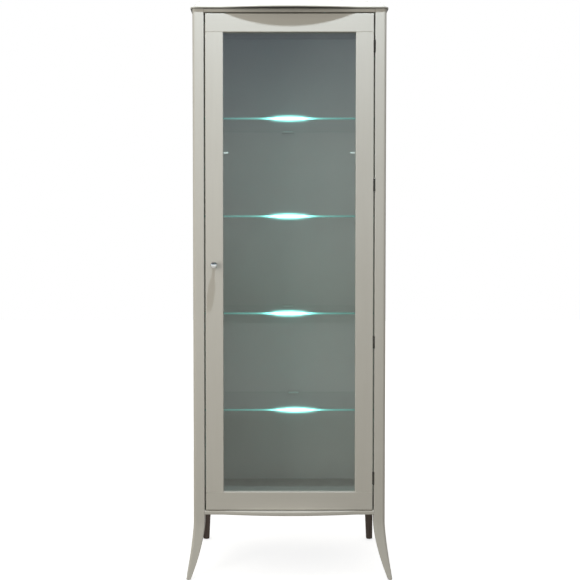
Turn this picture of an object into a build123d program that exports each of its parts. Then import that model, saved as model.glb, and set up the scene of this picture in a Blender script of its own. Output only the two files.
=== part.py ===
from build123d import *
import math
import os

# A tall curio cabinet with one glass door, in millimetres.
# X runs across the front, Y from front to back and Z up. The origin is on the floor, at the
# middle of the overall box, so the front face of the carcass lies at a negative Y.

# ---------------------------------------------------------------- driving dimensions
body_width = 600.0  # over the two front posts
body_depth = 385.0  # from the posts' front faces to the back
total_height = 1800.0
leg_height = 201.0  # floor to the underside of the bottom board
knob_reach = 30.0  # the knob stands this far in front of the door

board = 13.0  # bottom board
frieze_height = 11.0
board_round = 3.0  # the bottom board's front edges
frieze_arris = 1.5
side_thickness = 18.0
back_thickness = 6.0
back_lap = 10.0  # how far the back panel laps into each side panel
ceiling_thickness = 8.0
frieze_depth = 20.0
arris = 2.0  # the soft edge on painted timber

# The front edges of the top and the bottom board swell forward in one shallow bow.
bow_swell = 15.0
bow_half_width = 215.0
bow_radius = 1430.0

# Top board: a round nose below, an ogee above it, and a short upright edge at the top.
top_side_overhang = 7.0
top_front_overhang = 5.0
top_corner_radius = 24.0
top_nose = 7.0
top_ogee_inset = (3.5, 24.0)
top_ogee_rise = 17.0
top_edge = 2.0
top_nose_round = 2.8

# Front posts run down into sabre legs that flare sideways and forwards.
post = 35.0
post_outer_radius = 10.0
foot = 14.0
sabre_height = 178.0
flare_side = 23.0
flare_front = 18.0
flare_power = 1.4

rear_leg_top = 30.0
rear_leg_foot = 21.0
glide_thickness = 3.0
glide_arris = 1.0
front_glide_radius = 5.0
rear_glide_radius = 8.0
leg_bolt_radius = 4.0
leg_bolt_reach = 35.0  # into the leg below and into the side panel above
leg_bolt_inset = (9.0, 15.0)  # from the outer face and from the back

# Door: two full-width rails with two stiles between them.
door_gap_side = 4.5
door_gap_end = 2.2
door_gap_top = 4.2
door_thickness = 20.0
stile_width = 55.0
rail_width = 57.0
rebate = 8.0  # width of the step that holds the glass
door_lip = 8.0  # timber left in front of the glass
door_glass_thickness = 4.0
glass_play = 1.0
dowel_radius = 4.0
dowel_length = 40.0
dowel_spacing = 28.0
dowel_play = 0.1

knob_height = 984.0
knob_radius = 11.0
knob_stem_radius = 4.5
knob_rose_radius = 7.5
knob_rose_thickness = 2.5
knob_rose_arris = 1.2
knob_screw_radius = 2.0
knob_screw_bite = 8.0  # into the knob
knob_screw_head = (4.0, 2.4)  # radius, thickness
knob_screw_cross = (5.0, 0.9, 0.8)  # length, width, depth

glass_clip_height = 1333.0
glass_clip_width = 5.0
glass_clip_reach = 15.0  # over the glass
glass_clip_plate = 1.5
glass_clip_lap = 14.0  # over the stile, beyond the rebate
glass_clip_toe_gap = 0.2  # between the toe and the pane
glass_clip_rivet = (2.2, 1.0, 5.0)  # radius, thickness, distance from the outer end
bead_round = 3.0

# Butt hinges, whose knuckles stand in the gap beside the door.
hinge_heights = (316.0, 743.0, 1232.0, 1659.0)
hinge_length = 39.0
hinge_leaf = 1.2
hinge_setback = 1.0  # the pin's axis behind the door's front face
knuckle_radius = 2.0
knuckle_count = 5
knuckle_play = 0.2
leaf_front_set = 0.5  # the leaf's front edge behind the door's front face
leaf_back_set = 2.0  # its back edge before the door's inner face
strap_start = 1.4  # the knuckle's strap, from the pin's axis
strap_depth = 2.1
pin_radius = 1.0
pin_play = 0.06
pin_head = (1.9, 1.2)  # radius, thickness
pin_head_arris = 0.4
hinge_screw_spacing = 22.0
hinge_screw_set = 12.0  # behind the door's front face
screw_radius = 1.2
screw_head_radius = 2.4
screw_length = 13.0
screw_play = 0.05

# Glass shelves on pins, each with a light clipped to its back edge.
shelf_count = 4
first_shelf_top = 527.0
shelf_pitch = 306.0
shelf_thickness = 6.0
shelf_front_gap = 40.0  # behind the posts' front faces
shelf_back_gap = 18.0  # in front of the cabinet's back
shelf_side_play = 1.5
pin_hole_radius = 2.5
pin_hole_depth = 9.0
peg_reach = 9.0
peg_radius = 2.45
peg_collar = (4.5, 1.2)  # radius, thickness
peg_inset_front = 45.0  # from the shelf's front edge
peg_inset_back = 50.0
peg_arris = 0.8
peg_hole_air = 0.5  # left empty behind each peg
pad_thickness = 1.0
pad_half_width = 2.0
shelf_corner = 3.0
shelf_chamfer = 0.6

light_width = 42.0
light_height = 13.0
light_front = 8.0  # how far the clip's lip reaches under the glass
light_back = 8.0  # how far it stands behind the glass
light_grip = 0.1  # play between the lip and the glass
light_arris = 1.5
lens_width = 36.0
lens_thickness = 1.7
lens_gap = 0.3  # between the lens and the glass in front of it
lens_arris = 0.8
low_shelf_light_shift = 20.0  # the lowest light sits a little off centre

# Magnetic catches on the inner face of the left post, behind the door.
catch_places = (260.0, 1710.0)  # z
catch_length = 40.0
catch_depth = 13.0
catch_width = 17.0
catch_arris = 1.5
magnet_size = (8.0, 8.0, 30.0)
magnet_inset = 7.0  # from the post's face
magnet_proud = 0.3
strike_size = (11.0, 1.0, 40.0)
strike_inset = 5.0  # from the post's face
strike_corner = 2.0
catch_air = 0.3

back_screw_radius = 1.6
back_screw_head = 3.4
back_screw_length = 18.0
back_screw_rows = 7
back_screw_margin = 40.0  # the end rows, from the panel's ends
back_screw_columns = (-170.0, 0.0, 170.0)
inlet_radius = 6.0
inlet_flange = (8.5, 1.5)  # radius, thickness
inlet_arris = 0.7
inlet_groove = (4.5, 3.8)  # outer and inner radius
inlet_groove_depth = 0.5
inlet_place = (250.0, 245.0)  # x, z

# ---------------------------------------------------------------- derived places
front = knob_reach - (body_depth + knob_reach) / 2  # Y of the posts' front faces
back = front + body_depth
half = body_width / 2
post_inner = half - post
side_inner = half - side_thickness
floor_top = leg_height + board
top_under = total_height - top_nose - top_ogee_rise - top_edge
frieze_under = top_under - frieze_height
ceiling_under = top_under - ceiling_thickness
panel_front = back - back_thickness
post_back = front + post

door_half = post_inner - door_gap_side
door_low = floor_top + door_gap_end
door_high = frieze_under - door_gap_top
door_inner = front + door_thickness
stile_inner = door_half - stile_width
opening_low = door_low + rail_width
opening_high = door_high - rail_width
stile_middle = door_half - stile_width / 2

hinge_x = post_inner - door_gap_side / 2
hinge_y = front + hinge_setback

shelf_front = front + shelf_front_gap
shelf_back = back - shelf_back_gap
shelf_tops = [first_shelf_top + shelf_pitch * n for n in range(shelf_count)]


# ---------------------------------------------------------------- helpers
def block(x0, x1, y0, y1, z0, z1):
    """A box between two opposite corners."""
    middle = ((x0 + x1) / 2, (y0 + y1) / 2, (z0 + z1) / 2)
    return Pos(*middle) * Box(abs(x1 - x0), abs(y1 - y0), abs(z1 - z0))


def soften(solid, radius, choose):
    """Fillets the edges that the test accepts."""
    return fillet([e for e in solid.edges() if choose(e)], radius)


def along(edge, axis):
    """True for a straight edge that runs along the named axis."""
    box = edge.bounding_box().size
    lengths = {"x": box.X, "y": box.Y, "z": box.Z}
    others = [size for name, size in lengths.items() if name != axis]
    return lengths[axis] > 0.5 and max(others) < 1e-4


def rounded_quad(x0, x1, y0, y1, radii, z):
    """A level rectangle with its own radius at each corner, anticlockwise from (x0, y0)."""
    corners = [(x0, y0, 180), (x1, y0, 270), (x1, y1, 0), (x0, y1, 90)]
    arcs = []
    for (x, y, start), radius in zip(corners, radii):
        centre_x = x + radius * (1 if x == x0 else -1)
        centre_y = y + radius * (1 if y == y0 else -1)
        ends = []
        for turn in (0, 45, 90):
            angle = math.radians(start + turn)
            ends.append((centre_x + radius * math.cos(angle), centre_y + radius * math.sin(angle), z))
        arcs.append(ends)
    edges = []
    for n, ends in enumerate(arcs):
        following = arcs[(n + 1) % 4]
        edges.append(ThreePointArc(*ends))
        edges.append(Line(ends[2], following[0]))
    return make_face(edges)


def bowed_front(half_width, front_y, z):
    """The edges of a front that is flat at its ends and bowed forward in the middle, left to right."""
    blend_radius = (bow_half_width**2 + bow_swell**2) / (2 * bow_swell) - bow_radius
    turn = math.asin(bow_half_width / (bow_radius + blend_radius))
    join_x = bow_radius * math.sin(turn)
    join_y = front_y - bow_swell + bow_radius * (1 - math.cos(turn))
    middle_x = bow_half_width - blend_radius * math.sin(turn / 2)
    middle_y = front_y - blend_radius * (1 - math.cos(turn / 2))
    return [
        Line((-half_width, front_y, z), (-bow_half_width, front_y, z)),
        ThreePointArc((-bow_half_width, front_y, z), (-middle_x, middle_y, z), (-join_x, join_y, z)),
        ThreePointArc((-join_x, join_y, z), (0, front_y - bow_swell, z), (join_x, join_y, z)),
        ThreePointArc((join_x, join_y, z), (middle_x, middle_y, z), (bow_half_width, front_y, z)),
        Line((bow_half_width, front_y, z), (half_width, front_y, z)),
    ]


def top_outline(inset, z):
    """The top board's plan, drawn in by the same inset at the front and at both sides."""
    half_width = half + top_side_overhang - inset
    front_y = front - top_front_overhang + inset
    radius = top_corner_radius - 0.6 * inset
    bend = radius * (1 - math.sqrt(0.5))
    edges = bowed_front(half_width - radius, front_y, z)
    for side in (-1, 1):
        outer = side * half_width
        edges.append(
            ThreePointArc(
                (side * (half_width - radius), front_y, z),
                (side * (half_width - bend), front_y + bend, z),
                (outer, front_y + radius, z),
            )
        )
        edges.append(Line((outer, front_y + radius, z), (outer, back, z)))
    edges.append(Line((-half_width, back, z), (half_width, back, z)))
    return make_face(edges)


def screw(radius, head_radius, length):
    """A countersunk screw along -Z with its flat head at the origin, and a cross recess."""
    head_depth = head_radius - radius
    body = Pos(0, 0, -head_depth / 2) * Cone(radius, head_radius, head_depth)
    body += Pos(0, 0, -(head_depth + length) / 2) * Cylinder(radius, length - head_depth)
    slot = head_radius * 1.1
    for turn in (0, 90):
        body -= Rot(0, 0, turn) * Box(slot, slot / 5, head_depth)
    return body


def screw_hole(radius, head_radius, length):
    """The clearance that such a screw needs, open at its head."""
    head_depth = head_radius - radius
    wide = Cone(radius + screw_play, head_radius + screw_play, head_depth)
    shank = Cylinder(radius + screw_play, length - head_depth)
    return Pos(0, 0, -head_depth / 2) * wide + Pos(0, 0, -(head_depth + length) / 2) * shank


def save(name, shape):
    """Writes one node, made of one solid or of several separate ones."""
    shape.label = name
    export_step(shape, f"parts/{name}.step")


def group(shapes):
    """Several separate solids as one node."""
    return Compound(children=[solid for shape in shapes for solid in shape.solids()])


# ---------------------------------------------------------------- fastener places
def hinge_screw_places(x, turn):
    """Where the screws of all the hinge leaves stand on one side of the gap."""
    places = []
    for height in hinge_heights:
        for step in (-0.5, 0.5):
            place = Pos(x, front + hinge_screw_set, height + step * hinge_screw_spacing)
            places.append(place * Rot(0, turn, 0))
    return places


def back_screw_places():
    """Screws down both sides of the back panel and along its top and bottom edges."""
    low, high = leg_height + back_screw_margin, top_under - back_screw_margin
    spots = []
    for row in range(back_screw_rows):
        z = low + (high - low) * row / (back_screw_rows - 1)
        spots += [(side * (side_inner + back_lap / 2), z) for side in (-1, 1)]
    for x in back_screw_columns:
        spots += [(x, leg_height + board / 2), (x, top_under - ceiling_thickness / 2)]
    return [Pos(x, back, z) * Rot(-90, 0, 0) for x, z in spots]


def shelf_peg_places():
    """(side, y, z) of the pegs, level with each shelf's underside less its pad."""
    rows = (shelf_front + peg_inset_front, shelf_back - peg_inset_back)
    drop = shelf_thickness + pad_thickness + peg_radius
    return [(side, y, top - drop) for top in shelf_tops for side in (-1, 1) for y in rows]


post_screws = hinge_screw_places(post_inner, -90)
door_screws = hinge_screw_places(door_half, 90)


# ---------------------------------------------------------------- carcass
def top_board():
    """Round nose, ogee and short upright edge, in one board."""
    nose = extrude(top_outline(0, top_under), top_nose)
    nose = soften(nose, top_nose_round, lambda e: not along(e, "z") and e.center().Y < back - 1)
    inset_low, inset_high = top_ogee_inset
    sections = []
    steps = 6
    for n in range(steps + 1):
        t = n / steps
        rise = top_ogee_rise * (3 * t**2 - 2 * t**3)
        inset = inset_low + (inset_high - inset_low) * t
        sections.append(top_outline(inset, top_under + top_nose + rise))
    ogee = loft(sections)
    edge = extrude(top_outline(inset_high, total_height - top_edge), top_edge)
    return nose + ogee + edge


def front_leg_post(side):
    """A square post with a rounded outer corner, and the sabre leg that it ends in."""

    def section(z):
        t = min(z / sabre_height, 1.0)
        size = foot + (post - foot) * (1 - (1 - t) ** 2)
        scale = size / post
        outer = half + flare_side * (1 - t) ** flare_power
        forward = front - flare_front * (1 - t) ** flare_power
        radii = [arris * scale, post_outer_radius * scale, arris * scale, arris * scale]
        return rounded_quad(outer - size, outer, forward, forward + size, radii, z)

    steps = 7
    rise = sabre_height - glide_thickness
    leg = loft([section(glide_thickness + rise * n / steps) for n in range(steps + 1)])
    shaft = extrude(section(sabre_height), top_under - sabre_height)
    solid = leg + shaft
    if side < 0:
        return mirror(solid, about=Plane.YZ)
    for height in hinge_heights:
        solid -= block(
            post_inner, post_inner + hinge_leaf, front - 1, door_inner, *hinge_span(height)
        )
    for place in post_screws:
        solid -= place * screw_hole(screw_radius, screw_head_radius, screw_length)
    return solid


def hinge_span(height):
    """The lowest and highest Z of a hinge."""
    return height - hinge_length / 2, height + hinge_length / 2


def side_panel(side):
    """A panel behind the post, stepped at its back for the back panel, with peg and screw holes."""
    low_x, high_x = sorted((side * side_inner, side * half))
    panel = block(low_x, high_x, post_back, back, leg_height, top_under)
    panel = soften(panel, arris, lambda e: along(e, "z") and abs(e.center().X) > half - 1)
    lap = sorted((side * side_inner, side * (side_inner + back_lap)))
    panel -= block(*lap, panel_front, back + 1, leg_height - 1, top_under + 1)
    for peg_side, y, z in shelf_peg_places():
        if peg_side == side:
            hole = Rot(0, 90, 0) * Cylinder(pin_hole_radius, pin_hole_depth)
            panel -= Pos(side * (side_inner + pin_hole_depth / 2), y, z) * hole
    for place in back_screws:
        if place.position.X * side > side_inner:
            panel -= place * screw_hole(back_screw_radius, back_screw_head, back_screw_length)
    return panel - leg_bolt(side, screw_play)


def back_panel():
    """The painted back, let into the side panels and screwed on from behind."""
    wide = side_inner + back_lap
    panel = block(-wide, wide, panel_front, back, leg_height, top_under)
    for place in back_screws:
        panel -= place * screw_hole(back_screw_radius, back_screw_head, back_screw_length)
    hole = Rot(90, 0, 0) * Cylinder(inlet_radius + screw_play, back_thickness * 2)
    return panel - Pos(inlet_place[0], back - back_thickness / 2, inlet_place[1]) * hole


def bottom_board():
    """The floor of the cabinet, with the bowed front edge, cut round the posts."""
    edges = bowed_front(post_inner, front, leg_height)
    for side in (-1, 1):
        corner = [
            (side * post_inner, front, leg_height),
            (side * post_inner, post_back, leg_height),
            (side * side_inner, post_back, leg_height),
            (side * side_inner, panel_front, leg_height),
        ]
        edges += [Line(a, b) for a, b in zip(corner, corner[1:])]
    edges.append(Line((-side_inner, panel_front, leg_height), (side_inner, panel_front, leg_height)))
    plate = extrude(make_face(edges), board)
    plate = soften(plate, board_round, lambda e: not along(e, "z") and e.center().Y < front + 1)
    return cut_for_back_screws(plate)


def frieze_rail():
    """The rail between the posts above the door."""
    rail = block(-post_inner, post_inner, front, front + frieze_depth, frieze_under, top_under)
    return soften(rail, frieze_arris, lambda e: along(e, "x") and e.center().Y < front + 1)


def ceiling_panel():
    """The inside ceiling, cut round the posts behind the frieze."""
    panel = block(-side_inner, side_inner, front + frieze_depth, panel_front, ceiling_under, top_under)
    for side in (-1, 1):
        corner = sorted((side * post_inner, side * half))
        panel -= block(*corner, front, post_back, ceiling_under - 1, top_under + 1)
    return cut_for_back_screws(panel)


def cut_for_back_screws(plate):
    """The holes that the back panel's middle screws make in a board's back edge."""
    for place in back_screws:
        if abs(place.position.X) < side_inner:
            plate -= place * screw_hole(back_screw_radius, back_screw_head, back_screw_length)
    return plate


def leg_bolt(side, play):
    """The hanger bolt that holds a rear leg under its side panel."""
    inset_x, inset_y = leg_bolt_inset
    bolt = Cylinder(leg_bolt_radius + play, 2 * (leg_bolt_reach + play))
    return Pos(side * (half - inset_x), back - inset_y, leg_height) * bolt


def rear_leg(side):
    """A square leg, upright at its outer and back faces and tapered at the other two."""

    def section(z, size):
        return rounded_quad(half - size, half, back - size, back, [arris] * 4, z)

    leg = loft([section(glide_thickness, rear_leg_foot), section(leg_height, rear_leg_top)], ruled=True)
    leg -= leg_bolt(1, screw_play)
    return leg if side > 0 else mirror(leg, about=Plane.YZ)


def leg_glides():
    """A nail-on plastic glide under each foot."""
    foot_size = foot + (post - foot) * 2 * glide_thickness / sabre_height
    front_x = half + flare_side - foot_size / 2
    front_y = front - flare_front + foot_size / 2
    rear_x = half - rear_leg_foot / 2
    rear_y = back - rear_leg_foot / 2
    spots = [(front_x, front_y, front_glide_radius), (rear_x, rear_y, rear_glide_radius)]
    glides = []
    for side in (-1, 1):
        for x, y, radius in spots:
            glide = Pos(side * x, y, glide_thickness / 2) * Cylinder(radius, glide_thickness)
            glides.append(soften(glide, glide_arris, lambda e: e.center().Z < 0.1))
    return group(glides)


def power_inlet():
    """The capped low-voltage inlet of the shelf lights, let into the back panel."""
    flange_radius, flange_thickness = inlet_flange
    stem = Pos(0, 0, back_thickness / 2) * Cylinder(inlet_radius, back_thickness)
    flange = Pos(0, 0, -flange_thickness / 2) * Cylinder(flange_radius, flange_thickness)
    flange = soften(flange, inlet_arris, lambda e: e.center().Z < -flange_thickness + 0.1)
    outer, inner = inlet_groove
    ring = Cylinder(outer, 2 * inlet_groove_depth) - Cylinder(inner, 2 * inlet_groove_depth)
    stem -= Pos(0, 0, back_thickness) * ring
    return Pos(inlet_place[0], panel_front, inlet_place[1]) * Rot(-90, 0, 0) * (stem + flange)


# ---------------------------------------------------------------- shelves and their lights
def glass_shelf(top):
    """A clear shelf with polished edges and eased corners."""
    wide = side_inner - shelf_side_play
    plate = block(-wide, wide, shelf_front, shelf_back, top - shelf_thickness, top)
    plate = soften(plate, shelf_corner, lambda e: along(e, "z"))
    return chamfer([e for e in plate.edges() if not along(e, "z")], shelf_chamfer)


def shelf_pegs():
    """Round pegs in the side panels, four under each shelf."""
    collar_radius, collar_thickness = peg_collar
    pegs = []
    for side, y, z in shelf_peg_places():
        shank_length = pin_hole_depth - peg_hole_air
        shank = Pos(0, 0, shank_length / 2) * Cylinder(peg_radius, shank_length)
        collar = Pos(0, 0, -collar_thickness / 2) * Cylinder(collar_radius, collar_thickness)
        collar -= Pos(0, collar_radius + peg_radius + pad_thickness, -collar_thickness / 2) * Box(
            3 * collar_radius, 2 * collar_radius, collar_thickness
        )
        nose = Pos(0, 0, -peg_reach / 2) * Cylinder(peg_radius, peg_reach)
        nose = soften(nose, peg_arris, lambda e: e.center().Z < -peg_reach + 0.1)
        seat = Plane(origin=(side * side_inner, y, z), x_dir=(0, side, 0), z_dir=(side, 0, 0))
        pegs.append(seat.location * (shank + collar + nose))
    return group(pegs)


def shelf_pads():
    """A clear pad between each peg and the glass."""
    collar_thickness = peg_collar[1]
    pads = []
    for side, y, z in shelf_peg_places():
        near = side * (side_inner - collar_thickness - shelf_side_play)
        far = side * (side_inner - peg_reach + peg_hole_air)
        pad_top = z + peg_radius + pad_thickness
        pad = block(near, far, y - pad_half_width, y + pad_half_width, z, pad_top)
        cut = Pos(side * side_inner, y, z) * Rot(0, 90, 0) * Cylinder(peg_radius, 3 * peg_reach)
        pads.append(pad - cut)
    return group(pads)


def light_clip(top, x):
    """A bracket bonded under the back edge of a shelf, with the light behind the edge."""
    z = top - shelf_thickness / 2
    low, high = z - light_height / 2, z + light_height / 2
    x0, x1 = x - light_width / 2, x + light_width / 2
    clip = block(x0, x1, shelf_back - light_front, shelf_back + light_back, low, high)
    clip = soften(clip, light_arris, lambda e: along(e, "x"))
    under_glass = top - shelf_thickness - light_grip
    clip -= block(x0 - 1, x1 + 1, shelf_back - light_front - 1, shelf_back + lens_gap, under_glass, high + 1)
    pocket_back = shelf_back + lens_gap + lens_thickness
    return clip - block(x0 - 1, x1 + 1, shelf_back, pocket_back, under_glass, top + light_grip)


def light_lens(top, x):
    """The light's lens, in the clip's pocket and just clear of the glass."""
    z = top - shelf_thickness / 2
    start = shelf_back + lens_gap
    tall = shelf_thickness / 2 - lens_gap
    lens = block(x - lens_width / 2, x + lens_width / 2, start, start + lens_thickness, z - tall, z + tall)
    return soften(lens, lens_arris, lambda e: along(e, "z") and e.center().Y < start + 0.1)


# ---------------------------------------------------------------- hinges and catches
def knuckles(height, odd):
    """Every second knuckle of a hinge, bored for the pin."""
    pitch = hinge_length / knuckle_count
    rings = []
    for n in range(knuckle_count):
        if n % 2 == odd:
            z = height - hinge_length / 2 + pitch * (n + 0.5)
            ring = Cylinder(knuckle_radius, pitch - knuckle_play)
            rings.append((Pos(hinge_x, hinge_y, z) * ring, z, pitch - knuckle_play))
    return rings


def hinge_leaf_half(height, side, odd):
    """One leaf with its knuckles: side 1 is let into the post, side -1 into the door's edge."""
    face = hinge_x + side * door_gap_side / 2
    deep = face + side * hinge_leaf
    low, high = hinge_span(height)
    front_y = front + leaf_front_set
    leaf = block(*sorted((face, deep)), front_y, door_inner - leaf_back_set, low, high)
    for ring, z, tall in knuckles(height, odd):
        reach = sorted((hinge_x + side * strap_start, deep))
        leaf += ring + block(*reach, front_y, front_y + strap_depth, z - tall / 2, z + tall / 2)
    leaf -= Pos(hinge_x, hinge_y, height) * Cylinder(pin_radius + pin_play, hinge_length + 4)
    places = post_screws if side > 0 else door_screws
    for place in places:
        if abs(place.position.Z - height) < hinge_length:
            leaf -= place * screw_hole(screw_radius, screw_head_radius, screw_length)
    return leaf


def hinge_pin(height):
    """A loose pin with a small head above the top knuckle."""
    head_radius, head_thickness = pin_head
    shank = Cylinder(pin_radius, hinge_length - knuckle_play)
    head = Pos(0, 0, (hinge_length + head_thickness) / 2) * Cylinder(head_radius, head_thickness)
    head = soften(head, pin_head_arris, lambda e: e.center().Z > hinge_length / 2 + head_thickness - 0.1)
    neck = Pos(0, 0, hinge_length / 2) * Cylinder(pin_radius, knuckle_play * 2)
    return Pos(hinge_x, hinge_y, height) * (shank + neck + head)


def hinge_screws(places):
    """All the screws of one row of hinge leaves."""
    return group([place * screw(screw_radius, screw_head_radius, screw_length) for place in places])


def catch_bodies():
    """Two magnetic catches, near the top and the bottom of the left post."""
    start = door_inner + strike_size[1] + catch_air + magnet_proud
    bodies = []
    for z in catch_places:
        low, high = z - catch_length / 2, z + catch_length / 2
        body = block(-post_inner, -post_inner + catch_width, start, start + catch_depth, low, high)
        body = soften(body, catch_arris, lambda e: along(e, "y") and e.center().X > -post_inner + 1)
        bodies.append(body - magnet(z))
    return group(bodies)


def magnet(z):
    """The magnet of one catch, which stands a little proud of its body."""
    wide, deep, tall = magnet_size
    start = door_inner + strike_size[1] + catch_air
    x0 = -post_inner + magnet_inset
    return block(x0, x0 + wide, start, start + deep, z - tall / 2, z + tall / 2)


def strike_plates():
    """Steel plates on the door's inner face, opposite the magnets."""
    wide, deep, tall = strike_size
    x0 = -post_inner + strike_inset
    plates = []
    for z in catch_places:
        plate = block(x0, x0 + wide, door_inner, door_inner + deep, z - tall / 2, z + tall / 2)
        plates.append(soften(plate, strike_corner, lambda e: along(e, "y")))
    return group(plates)


# ---------------------------------------------------------------- door
def dowel_places():
    """(x, z) of the dowels that join each stile to both rails."""
    places = []
    for side in (-1, 1):
        for z in (opening_low, opening_high):
            for step in (-0.5, 0.5):
                places.append((side * (stile_middle + rebate / 2) + step * dowel_spacing, z))
    return places


def door_dowel(x, z, play):
    """One dowel, or with some play the hole that it goes in."""
    dowel = Cylinder(dowel_radius + play, dowel_length + 2 * play)
    return Pos(x, front + door_thickness / 2, z) * dowel


def glass_rebate():
    """The step round the opening, cut from the inner face."""
    wide = stile_inner + rebate
    return block(-wide, wide, front + door_lip, door_inner + 1, opening_low - rebate, opening_high + rebate)


def door_member(x0, x1, z0, z1, soft):
    """A rail or a stile: the edges that the test accepts are softened, then it is rebated and bored."""
    member = block(x0, x1, front, door_inner, z0, z1)
    member = soften(member, arris, soft)
    member -= glass_rebate()
    for x, z in dowel_places():
        member -= door_dowel(x, z, dowel_play)
    return member


def door_rail(upper):
    """A full-width rail with soft edges on its front face."""
    z0, z1 = (opening_high, door_high) if upper else (door_low, opening_low)
    return door_member(-door_half, door_half, z0, z1, lambda e: e.center().Y < front + 0.1)


def door_stile(side):
    """A stile between the rails, with soft long edges on its front face."""
    x0, x1 = sorted((side * stile_inner, side * door_half))
    return door_member(x0, x1, opening_low, opening_high,
                       lambda e: along(e, "z") and e.center().Y < front + 0.1)


def hinge_stile():
    """The right stile, cut for the hinge leaves and their screws."""
    stile = door_stile(1)
    for height in hinge_heights:
        stile -= block(door_half - hinge_leaf, door_half, front - 1, door_inner, *hinge_span(height))
    for place in door_screws:
        stile -= place * screw_hole(screw_radius, screw_head_radius, screw_length)
    return stile


def knob_stile():
    """The left stile, bored for the knob's screw."""
    hole = Rot(90, 0, 0) * Cylinder(knob_screw_radius + screw_play, 3 * door_thickness)
    return door_stile(-1) - Pos(-stile_middle, front, knob_height) * hole


def door_glass():
    """The pane, with a little play in its rebate."""
    wide = stile_inner + rebate - glass_play
    start = front + door_lip
    return block(-wide, wide, start, start + door_glass_thickness,
                 opening_low - rebate + glass_play, opening_high + rebate - glass_play)


def glazing_bead(upright, sign):
    """A strip behind the glass, rounded towards the opening."""
    wide = stile_inner + rebate
    low, high = opening_low - rebate, opening_high + rebate
    start = front + door_lip + door_glass_thickness
    if upright:
        x0, x1 = sorted((sign * stile_inner, sign * wide))
        bead = block(x0, x1, start, door_inner, opening_low, opening_high)
        return soften(bead, bead_round, lambda e: along(e, "z") and e.center().Y > start + 1
                      and abs(e.center().X) < stile_inner + 1)
    z0, z1 = (opening_high, high) if sign > 0 else (low, opening_low)
    bead = block(-wide, wide, start, door_inner, z0, z1)
    edge_z = opening_high if sign > 0 else opening_low
    return soften(bead, bead_round, lambda e: along(e, "x") and e.center().Y > start + 1
                  and abs(e.center().Z - edge_z) < 1)


def glass_clips():
    """A bright strip on each stile that laps over the bead and steadies the pane."""
    glass_face = front + door_lip + door_glass_thickness
    low, high = glass_clip_height - glass_clip_width / 2, glass_clip_height + glass_clip_width / 2
    tip = stile_inner - glass_clip_reach
    outer = stile_inner + rebate + glass_clip_lap
    rivet_radius, rivet_thickness, rivet_set = glass_clip_rivet
    clips = []
    for side in (-1, 1):
        clip_back = door_inner + glass_clip_plate
        plate = block(*sorted((side * tip, side * outer)), door_inner, clip_back, low, high)
        toe_ends = sorted((side * tip, side * (tip + glass_clip_plate)))
        toe = block(*toe_ends, glass_face + glass_clip_toe_gap, clip_back, low, high)
        rivet = Pos(0, 0, rivet_thickness / 2) * Cylinder(rivet_radius, rivet_thickness)
        seat = Pos(side * (outer - rivet_set), clip_back, glass_clip_height)
        clips.append(plate + toe + seat * Rot(-90, 0, 0) * rivet)
    return group(clips)


def door_knob():
    """A ball on a stem with a small rose."""
    reach = knob_reach
    rose = Pos(0, 0, knob_rose_thickness / 2) * Cylinder(knob_rose_radius, knob_rose_thickness)
    rose = soften(rose, knob_rose_arris, lambda e: e.center().Z > knob_rose_thickness - 0.1)
    stem = Pos(0, 0, (reach - knob_radius) / 2) * Cylinder(knob_stem_radius, reach - knob_radius)
    ball = Pos(0, 0, reach - knob_radius) * Sphere(knob_radius)
    bore_depth = knob_screw_bite + 2
    bore = Pos(0, 0, bore_depth / 2) * Cylinder(knob_screw_radius + screw_play, bore_depth)
    return Pos(-stile_middle, front, knob_height) * Rot(90, 0, 0) * (rose + stem + ball - bore)


def knob_screw():
    """The screw that comes through the stile into the knob."""
    head_radius, head_thickness = knob_screw_head
    cross_length, cross_width, cross_depth = knob_screw_cross
    shank_length = door_thickness + knob_screw_bite
    shank = Pos(0, 0, -shank_length / 2) * Cylinder(knob_screw_radius, shank_length)
    head = Pos(0, 0, head_thickness / 2) * Cylinder(head_radius, head_thickness)
    head = soften(head, 1.0, lambda e: e.center().Z > head_thickness - 0.1)
    slot = Pos(0, 0, head_thickness) * Box(cross_length, cross_width, 2 * cross_depth)
    cross = Pos(0, 0, head_thickness) * Box(cross_width, cross_length, 2 * cross_depth)
    return Pos(-stile_middle, door_inner, knob_height) * Rot(-90, 0, 0) * (shank + head - slot - cross)


# ---------------------------------------------------------------- the cabinet
back_screws = back_screw_places()
light_shifts = [low_shelf_light_shift] + [0.0] * (shelf_count - 1)
screw_sizes = (back_screw_radius, back_screw_head, back_screw_length)

os.makedirs("parts", exist_ok=True)

save("top_board", top_board())
save("frieze_rail", frieze_rail())
save("ceiling_panel", ceiling_panel())
save("bottom_board", bottom_board())
save("back_panel", back_panel())
for name, side in (("left", -1), ("right", 1)):
    save(f"front_{name}_leg_post", front_leg_post(side))
    save(f"rear_{name}_leg", rear_leg(side))
    save(f"{name}_side_panel", side_panel(side))
save("rear_leg_bolts", group([leg_bolt(side, 0) for side in (-1, 1)]))
save("leg_glides", leg_glides())
save("back_panel_screws", group([place * screw(*screw_sizes) for place in back_screws]))
save("power_inlet", power_inlet())

for number, (top, shift) in enumerate(zip(shelf_tops, light_shifts), start=1):
    save(f"glass_shelf_{number}", glass_shelf(top))
    save(f"light_clip_{number}", light_clip(top, shift))
    save(f"light_lens_{number}", light_lens(top, shift))
save("shelf_pegs", shelf_pegs())
save("shelf_pads", shelf_pads())

for number, height in enumerate(hinge_heights, start=1):
    save(f"hinge_post_leaf_{number}", hinge_leaf_half(height, 1, 0))
    save(f"hinge_door_leaf_{number}", hinge_leaf_half(height, -1, 1))
    save(f"hinge_pin_{number}", hinge_pin(height))
save("post_hinge_screws", hinge_screws(post_screws))
save("door_hinge_screws", hinge_screws(door_screws))
save("catch_bodies", catch_bodies())
save("catch_magnets", group([magnet(z) for z in catch_places]))
save("strike_plates", strike_plates())

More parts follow.
